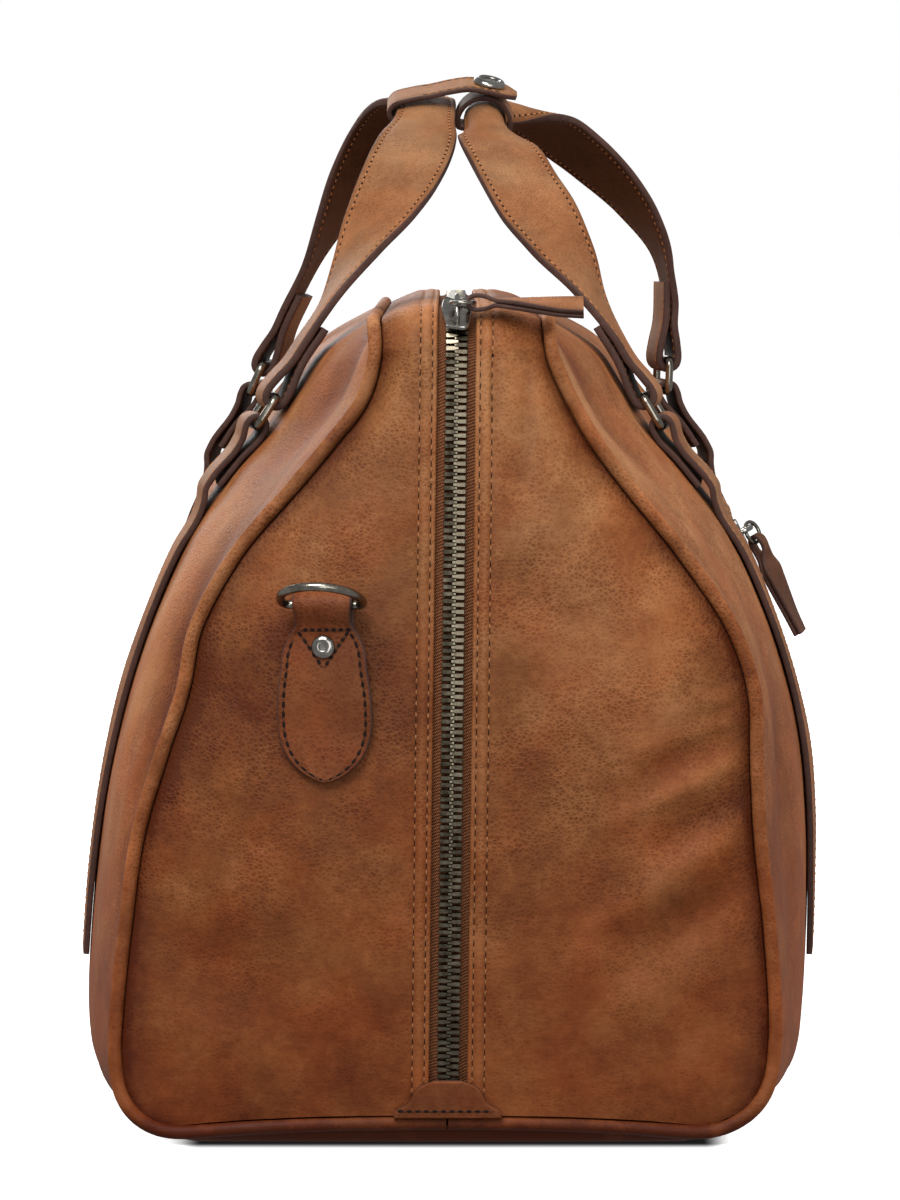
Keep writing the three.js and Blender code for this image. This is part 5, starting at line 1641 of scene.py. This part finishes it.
def handle_strap(handle, legs):
    halves = []
    for leg in legs:
        ring = leg["ring"]
        turned_to = 1 if ring["across"][1] >= 0 else -1
        across = ring["across"] * -END_SIGNS[leg["end"]] * handle["side"] * turned_to
        loop = handle_loop(ring, across)
        halves.append(loop + handle_leg(handle, loop[-1], leg))
    apex, face, across = handle_frame(handle)
    grip = {"place": apex, "across": across, "width": STRAP["grip"], "curl": handle["curl"]}
    strip = Strip([*halves[0], grip, *halves[1][::-1]])
    mesh, zones, tone = strap_mesh(strip, STRAP["pressed"], STRAP["stitch"])
    middle = len(strip.place) // 2
    shows = 1 if strip.face[middle] @ face > 0 else -1
    dress("handle_" + handle["name"], mesh, [STRAP_FACE, EDGE, BACK_WITH_PAINTED_SHADE][::shows], zones=zones, tone=tone)
    rows = []
    lift = STRAP["pressed"] / 2 - THREAD_DEPTH["handle"]
    for offset in (lift, -lift):
        lines = strip.line(STRAP["stitch"], offset)
        rows += [stitch_row(p[4:-4], n[4:-4], STRAP_PITCH, STRAP_HOLE) for p, n in lines]
    return rows


def handles():
    rows = []
    for handle in HANDLES:
        legs = []
        for row in HANDLE_ENDS:
            if row["handle"] != handle["name"]:
                continue
            ring = ring_frame(handle["side"], row["end"], row["lean"])
            legs.append({**row, "ring": ring})
            handle_ring(f"handle_ring_{handle['name']}_{row['end']}", ring)
            rows += handle_tab(handle["side"], row["end"])
        rows += handle_strap(handle, legs)
    stitches("strap_stitches", rows, "strap_leather", STRAP_THREAD)


# Snap on the handles


def snap_path():
    """The snap strap's line: under the left grip, round its outer edge and over to the right one."""
    left = HANDLES[0]
    apex, face, across = handle_frame(left)
    bend, radius = grip_bend(left)
    clear = STRAP["thick"] / 2 + 1.5 * GAP + SNAP["thick"] / 2

    def round_grip(angle, lift):
        reach = radius + lift
        return apex + across * reach * math.sin(angle) + face * (reach * math.cos(angle) - radius)

    edge = round_grip(-bend / 2, 0)
    under = [round_grip(angle, -clear - GAP) for angle in np.linspace(0.1, -bend / 2, 4)]
    off = round_grip(-bend / 2, 1) - edge
    past = np.cross(off, GRIP_ALONG)
    past = -past if past[0] > 0 else past
    turns = [cos_sin(turn) for turn in SNAP_WRAP]
    wrap = [edge + clear * (past * c + off * s) for c, s in turns]
    return np.array(under + wrap + [grip_point(row["x"], row["z"]) for row in SNAP_RUN])


def snap_axis():
    before, here, after = (grip_point(row["x"], row["z"]) for row in SNAP_RUN[SNAP_AT - 1 : SNAP_AT + 2])
    heading = unit(after - before)
    return here, np.cross(heading, GRIP_ALONG), heading


def snap_strap():
    path = snap_path()
    tip = len(path) - 1
    narrow = {tip: 0.45, tip - 1: 0.92}
    stations = [
        {"place": place, "across": GRIP_ALONG, "width": SNAP["width"] * narrow.get(k, 1)}
        for k, place in enumerate(path)
    ]
    strip = Strip(stations, 0.8)
    mesh, zones, tone = strap_mesh(strip, SNAP["thick"], SNAP_STITCH["inset"], SNAP_STITCH["groove"])
    shows = 1 if strip.face[len(strip.face) * 2 // 3][2] > 0 else -1
    dress("snap_strap", mesh, [STRAP_FACE, EDGE, STRAP_FACE], zones=zones, tone=tone)
    lift = shows * (SNAP["thick"] / 2 - THREAD_DEPTH["snap"])
    start = int(len(strip.place) * 0.5)
    lines = strip.line(SNAP_STITCH["inset"], lift)
    return [stitch_row(p[start:-6], n[start:-6], SNAP_STITCH["pitch"]) for p, n in lines]


def snap_cap():
    place, up, heading = snap_axis()
    seat = place + up * (SNAP["thick"] / 2 + SNAP_SEAT)
    cap = turned(CAP_PROFILE, SNAP["cap"], SNAP["rise"])
    dress("snap_cap", placed(cap, seat, heading, np.cross(up, heading), up), [NICKEL])


def snap_loop():
    """The keeper round the right grip: a round back and a flat underside."""
    right = HANDLES[1]
    apex, face, across = handle_frame(right)
    bend, radius = grip_bend(right)
    reach = radius + STRAP["thick"] / 2 + SNAP["loop_gap"] + SNAP["thick"] / 2
    level = (radius - STRAP["thick"] / 2) * math.cos(bend / 2) - SNAP["loop_gap"] - SNAP["thick"] / 2
    start = math.asin(level / reach)
    arc = np.linspace(start, np.pi - start, 60)
    ends = reach * math.cos(start)
    chord = np.linspace(-ends, ends, 20)[1:-1]
    over = np.column_stack([reach * np.cos(arc), reach * np.sin(arc)])
    flat = np.concatenate([over, np.column_stack([chord, np.full(len(chord), level)])])
    for _ in range(2):
        flat = (np.roll(flat, 1, axis=0) + 2 * flat + np.roll(flat, -1, axis=0)) / 4
    centre = apex - face * radius
    line = centre + flat[:, :1] * across + flat[:, 1:] * face
    heading = unit(np.roll(line, -1, axis=0) - np.roll(line, 1, axis=0))
    axis = np.cross(across, face)
    off = np.cross(heading, axis)
    half_width, half_thick = SNAP["loop_width"] / 2, SNAP["thick"] / 2
    outline = point_mirrored(KEEPER_CORNERS)[None]
    rings = line[:, None] + outline[..., :1] * half_width * axis
    rings = rings + outline[..., 1:] * half_thick * off[:, None]
    face_zones = [FACE_ZONE] * (len(KEEPER_CORNERS) - 3)
    zones = np.tile([EDGE_ZONE, *face_zones, EDGE_ZONE, EDGE_ZONE] * 2, len(line))
    dress("snap_loop", loft(rings, closed=True), [STRAP_FACE, EDGE], zones=zones)


def snap_post():
    right = HANDLES[1]
    apex, face, _ = handle_frame(right)
    _, radius = grip_bend(right)
    keeper = radius + STRAP["thick"] / 2 + SNAP["loop_gap"] + SNAP["thick"]
    place, up, heading = snap_axis()
    top = place - up * (SNAP["thick"] / 2 + SNAP_SEAT)
    height = (top - (apex - face * radius)) @ up - keeper - SNAP_SEAT
    post = turned(POST_PROFILE, SNAP["post"], -height)
    dress("snap_post", placed(post, top, heading, np.cross(up, heading), up), [NICKEL])


# D-rings and their tabs


def d_ring_tab(end, run):
    downs = column(D_TAB_OUTLINE, "down")
    halves = column(D_TAB_OUTLINE, "half")

    def width_at(down):
        return 2 * float(through(downs, halves, np.array([down]))[0])

    fine = np.arange(D_TAB["fold"] + D_TAB_FINE["from"], downs[-1], D_TAB_FINE["step"])
    strip = Strip(looped_tab(run, D_TAB, width_at, [*fine, downs[-1]]), 0.8)
    mesh, zones, tone = strap_mesh(strip, D_TAB["thick"], D_TAB["stitch"], 0.1)
    shows = 1 if outward(strip, run(40)[3]) else -1
    dress("ring_tab_" + end, mesh, [TAB_FACE, EDGE, BACK_WITH_PAINTED_SHADE][::shows], zones=zones, tone=tone)
    lift = shows * (D_TAB["thick"] / 2 - THREAD_DEPTH["d_tab"])
    down = travelled(strip.place)
    sewn = down[-1] - down < D_TAB_SEWN["length"]
    outline = sewn & (strip.width / 2 > D_TAB["stitch"] + D_TAB_SEWN["least"])
    left, right = strip.line(D_TAB["stitch"], lift)
    round_tip = [np.concatenate([a[outline], b[outline][::-1]]) for a, b in zip(left, right)]
    rows = [stitch_row(*round_tip, D_TAB_PITCH["outline"])]
    for seam in D_TAB_SEAMS:
        line = tab_line(strip, down, shows, seam["start"], seam["stop"])
        rows.append(stitch_row(*line, D_TAB_PITCH["seams"]))
    return rows


def tab_line(strip, down, shows, start, stop):
    """A line across a tab's face between two places given as across and down."""
    count = 16
    share = np.linspace(0, 1, count)
    across = lerp(start[0], stop[0], share)
    total = down[-1] - column(D_TAB_OUTLINE, "down")[-1]
    at = total + lerp(start[1], stop[1], share)
    lift = shows * (D_TAB["thick"] / 2 - THREAD_DEPTH["d_seams"])
    points, normals = strip.at(np.repeat(across[None], len(down), 0), lift)
    k = np.clip(np.searchsorted(down, at), 0, len(down) - 1)
    return points[k, np.arange(count)], normals[k, np.arange(count)] * shows


def d_ring(end, run):
    """A D bent from wire: a straight bar, two legs and a round top."""
    _, across, up, out = run(0)
    c, s = cos_sin(D_RING["rise"])
    stand = out * c + up * s
    half, leg, corner = D_RING["half"], D_RING["leg"], D_RING["corner"]
    turn = np.linspace(0, np.pi, 33)
    bends = np.linspace(-np.pi / 2, 0, 8)
    foot = np.column_stack([half - corner + corner * np.cos(bends), corner + corner * np.sin(bends)])
    arch = np.column_stack([half * np.cos(turn), leg + half * np.sin(turn)])
    flat = np.concatenate([foot, arch, (foot * np.array([-1, 1]))[::-1]])
    line = bar_centre(run, D_TAB["thick"]) + flat[:, :1] * across + flat[:, 1:] * stand
    mesh = tube(line, D_RING["wire"], 16, np.cross(stand, across))
    dress("d_ring_" + end, mesh, [RING_METAL], body="ring_" + end)


def rivet(end, run):
    place, across, _, out = run(D_TAB["rivet_down"])
    seat = place + out * (TAB_GAP + 2 * D_TAB["thick"] + RIVET["lift"])
    head = turned(RIVET_PROFILE, RIVET["radius"], RIVET["height"])
    dress("rivet_" + end, placed(head, seat, across, np.cross(out, across), out), [NICKEL])


def ends():
    rows = []
    for end in END_SIGNS:
        run, _ = end_run(end)
        rows.append(zip_patch(end))
        rows += d_ring_tab(end, run)
        d_ring(end, run)
        rivet(end, run)
    stitches("tab_stitches", rows, "strap_leather", TAB_THREAD)


# Sliders and pulls, in a frame with x towards the pull, y along the zip and z off the leather


def bevelled_plate(outline, low, high, bevel):
    """A plate from an outline, with its edges broken."""
    centre = outline.mean(axis=0)
    reach = np.linalg.norm(outline - centre, axis=1, keepdims=True)
    small = centre + (outline - centre) * (1 - bevel / reach)
    levels = ((small, low), (outline, low + bevel), (outline, high - bevel), (small, high))
    return loft(np.array([np.column_stack([flat, np.full(len(flat), z)]) for flat, z in levels]))


def slider_mesh():
    length, width = SLIDER["length"], SLIDER["width"]
    right = np.array(SLIDER_OUTLINE)
    left = right * np.array([-1, 1])
    loop = np.concatenate([left[:1], right, left[::-1]])
    places = travelled(loop)
    outline = through(places, loop, np.linspace(0, places[-1], 56)[:-1]) * np.array([width, length])
    plate = bevelled_plate(outline, 0, SLIDER["thick"], 0.35)
    reach, rise = length * BRIDGE["half"], SLIDER["bridge"]
    shoulder = [(0, reach * BRIDGE["shoulder_y"], rise), (0, reach, rise * BRIDGE["shoulder_z"])]
    far = [*shoulder, (0, reach, SLIDER["thick"] / 2)]
    near = [(0, -y, z) for _, y, z in far[::-1]]
    arch = np.array([*near, (0, 0, rise * BRIDGE["crown"]), *far])
    return joined(plate, tube(resampled(arch, 0.5), SLIDER["wire"], 12))


def link_mesh(tilt):
    c, s = cos_sin(tilt)
    turn = full_turn(40)
    x, wave = LINK["reach"] + LINK["radius"] * np.cos(turn), LINK["radius"] * np.sin(turn)
    line = np.column_stack([x, wave * c, SLIDER["bridge"] + wave * s])
    return tube(line, LINK["wire"], 10, np.array([0, -s, c]))


def pull_strip(tilt, tip_tilt, droop):
    """A strip folded round the link: down its length, round the wire and back."""
    radius = LINK["wire"] + PULL["play"] + PULL["thick"] / 2
    flat = PULL["thick"] / 2 + PULL_OPEN["rest"]
    start = LINK["reach"] + LINK["radius"]

    def at(down, lift):
        turn = lerp(tilt, tip_tilt, smooth(down, PULL_OPEN["until"], PULL["length"]))
        across = np.array([0, *cos_sin(turn)])
        off = np.array([0, -across[2], across[1]])
        fall = droop * smooth(down, 0, PULL["length"])
        place = np.array([start + down, 0, SLIDER["bridge"] - fall]) + off * lift
        width = lerp(PULL["neck"], PULL["width"], smooth(down, *PULL_WIDENS))
        return {"place": place, "across": across, "width": width}

    def lift_at(down):
        return radius * PULL_OPEN["share"] if down < PULL_OPEN["until"] else flat

    bends = np.linspace(-np.pi / 2, -1.5 * np.pi, LOOP_TURNS)
    turns = [at(radius * math.cos(bend), radius * math.sin(bend)) for bend in bends]
    under = [at(down, -lift_at(down)) for down in PULL_DOWNS]
    over = [at(down, lift_at(down)) for down in PULL_DOWNS[::-1]]
    return Strip(under + turns + over, 0.7)


def pocket_at(along, up):
    return side_at(1, along, POCKET["z"] + np.asarray(up) * POCKET["rise"])


def pocket_frame(along):
    y = unit(pocket_at(along + 1, 0) - pocket_at(along - 1, 0))
    rise = pocket_at(along, 1) - pocket_at(along, -1)
    x = -unit(rise - y * (rise @ y))
    return pocket_at(along, 0), x, y, np.cross(x, y)


def top_frame():
    """The slider's frame on the zip's bend at the near end: the pull lies to the right."""
    before, here, after = zip_bend(1, SLIDER_ON_BEND)
    heading = np.array([0, *(after - before)])
    z = unit(np.cross(X_AXIS, heading))
    return np.array([zip_x(here[1]), *here]), X_AXIS, np.cross(z, X_AXIS), z


def slider_set(names, face, place, x, y, z, tilt, tip_tilt, droop):
    slider, link, pull = names
    seat = place + z * GAP
    dress(slider, placed(slider_mesh(), seat, x, y, z), [NICKEL])
    dress(link, placed(link_mesh(tilt), seat, x, y, z), [RING_METAL])
    strip = pull_strip(tilt, tip_tilt, droop)
    mesh, zones, tone = strap_mesh(strip, PULL["thick"])
    dress(pull, placed(mesh, seat, x, y, z), [face, EDGE, face], zones=zones, tone=tone)


def pocket_grid(half, low, high, along_count, up_count):
    along = np.linspace(-half, half, along_count)[:, None]
    return pocket_at(along, np.linspace(low, high, up_count)[None])


def pocket():
    """The side pocket's zip, with a welt above it."""
    along_count, across_count = 90, 16
    half_tape = POCKET["tape"]
    grid = pocket_grid(POCKET["half"] + 4, -half_tape, half_tape, along_count, across_count)
    across = np.linspace(-half_tape, half_tape, across_count)
    mesh, uv = tape_shell(grid, grid_normals(grid), POCKET["tape_top"], POCKET["tape_bottom"], across)
    dress("pocket_zip_tape", mesh, [WEAVE], uv=uv)
    run = pocket_grid(POCKET["half"] - 2, -1, 1, along_count, 3)
    normals = grid_normals(run)[:, 1]
    chain = chain_mesh(run[:, 1] - 0.3 * normals, normals, POCKET["chain"] / TOOTH_REACH)
    dress("pocket_zip_chain", chain, [ZIP_METAL])
    grid = pocket_grid(WELT["half"], WELT["from"], WELT["to"], 120, 12)
    top, under, normals = rounded_pad(grid, GAP, WELT["thick"], 0.7)
    verts, faces, _ = shell(top, under)
    dress("pocket_welt", (verts, faces), [STRAP_FACE])
    rows = [stitch_row(top[4:-4, k], normals[4:-4, k]) for k in (3, 8)]
    stitches("pocket_stitches", rows, "strap_leather")


# White studio: a white backdrop to look at, and a dimmer surround that lights the bag
BACKDROP = {"seen": 1.0, "lights": 0.3}
FLOOR = {"half": 60.0, "low": 0.84, "high": 0.88, "glow": 0.8}
# Painted contact shadow on the floor: half sizes of the bag's foot, how far the shadow reaches, and the
# light that is left there
PAINTED_CONTACT_SHADOW = table("axis half reach", ("X", 0.086, 0.012), ("Y", 0.213, 0.02))
PAINTED_SHADOW_LIGHT_LEFT = 0.012


def world():
    made = bpy.data.worlds.new("studio")
    made.use_nodes = True
    tree = made.node_tree
    share = tree.nodes.new("ShaderNodeMapRange")
    share.inputs["To Min"].default_value = BACKDROP["lights"]
    share.inputs["To Max"].default_value = BACKDROP["seen"]
    rays = tree.nodes.new("ShaderNodeLightPath")
    tree.links.new(rays.outputs["Is Camera Ray"], share.inputs["Value"])
    background = tree.nodes["Background"]
    background.inputs["Color"].default_value = (1, 1, 1, 1)
    tree.links.new(share.outputs["Result"], background.inputs["Strength"])
    bpy.context.scene.world = made


def floor():
    """A pale floor that glows, so that it stays white, with a contact shadow painted into its colour and
    glow close to the bag's foot.
    """
    half = FLOOR["half"]
    data = bpy.data.meshes.new("studio_floor")
    corners = [(-half, -half, 0), (half, -half, 0), (half, half, 0), (-half, half, 0)]
    data.from_pydata(corners, [], [(0, 1, 2, 3)])
    s = Shader("pale_floor")
    stops = [(0.3, (FLOOR["low"],) * 3), (0.7, (FLOOR["high"],) * 3)]
    pale = s.ramp(s.noise(0.8, 2.0), stops)
    parts = s.node("SeparateXYZ", {0: s.place}).outputs
    beyond = []
    for row in PAINTED_CONTACT_SHADOW:
        across = s.math("ABSOLUTE", parts[row["axis"]])
        beyond.append(s.span(across, row["half"], row["half"] + row["reach"]))
    away = s.math("SQRT", s.total(*((d, d) for d in beyond)))
    # The painted contact shadow darkens both the floor's colour and its glow
    light = s.span(away, 0.0, 1.0, PAINTED_SHADOW_LIGHT_LEFT, 1.0, soft=True)
    colour = s.times(pale, light)
    s.set(Emission_Color=(1, 1, 1, 1), Emission_Strength=s.math("MULTIPLY", light, FLOOR["glow"]))
    data.materials.append(s.set(Base_Color=colour, Roughness=0.9, Specular_IOR_Level=0.0))
    obj = bpy.data.objects.new("studio_floor", data)
    obj.visible_diffuse = False
    obj.visible_glossy = False
    bpy.context.scene.collection.objects.link(obj)


LIGHTS = table(
    "name place aim size power mirrored",
    ("softbox_key", (-0.4, -1.15, 1.4), (0, -0.15, 0.18), 0.8, 23.5, True),
    ("softbox_front", (0.45, -2.5, 0.85), (0, -0.2, 0.2), 1.4, 13, True),
    ("softbox_low", (0.0, -2.4, 0.06), (0, -0.2, 0.1), 0.5, 2.4, True),
    ("softbox_above", (0.1, -0.1, 1.7), (0, 0, 0.2), 1.3, 13, False),
    ("softbox_left", (-1.6, 0.1, 0.8), (0, 0, 0.15), 1.0, 18, False),
    ("softbox_right", (1.6, -0.1, 0.8), (0, 0, 0.15), 1.0, 23, False),
    ("softbox_back", (-0.6, 2.2, 1.2), (0, 0.2, 0.2), 1.4, 20, True),
)
CAMERA = {"place": (-0.00075, -2.216, 0.319), "down": 3.79, "lens": 177, "sensor": 36}


def studio():
    world()
    floor()
    for row in LIGHTS:
        data = bpy.data.lights.new(row["name"], "AREA")
        data.size, data.energy = row["size"], row["power"]
        obj = bpy.data.objects.new(row["name"], data)
        obj.location = row["place"]
        obj.visible_glossy = row["mirrored"]
        x, y, z = np.array(row["aim"]) - np.array(row["place"])
        obj.rotation_euler = (math.atan2(math.hypot(x, y), -z), 0, math.atan2(-x, y))
        bpy.context.scene.collection.objects.link(obj)
    data = bpy.data.cameras.new("camera")
    data.lens, data.sensor_width = CAMERA["lens"], CAMERA["sensor"]
    camera = bpy.data.objects.new("camera", data)
    camera.location = CAMERA["place"]
    camera.rotation_euler = (math.radians(90 - CAMERA["down"]), 0, 0)
    bpy.context.scene.collection.objects.link(camera)
    bpy.context.scene.camera = camera
    bpy.context.scene.view_settings.view_transform = "Standard"


studio()
side_panel_left()
side_panel_right()
gussets()
bottom_panel()
for seam_side in (-1, 1):
    piping(seam_side)
main_zip()
ends()
handles()
stitches("snap_stitches", snap_strap(), "strap_leather")
snap_cap()
snap_loop()
snap_post()
pocket()
slider_set(("zip_slider", "zip_pull_link", "zip_pull"), STRAP_FACE, *top_frame(), -34, -7, 2)
pocket_slider = ("pocket_zip_slider", "pocket_pull_link", "pocket_zip_pull")
# The pocket pull's face takes the dark back leather: painted shade for a pull that hangs in shade
slider_set(pocket_slider, BACK_WITH_PAINTED_SHADE, *pocket_frame(POCKET["slider"]), 34, 10, 1)
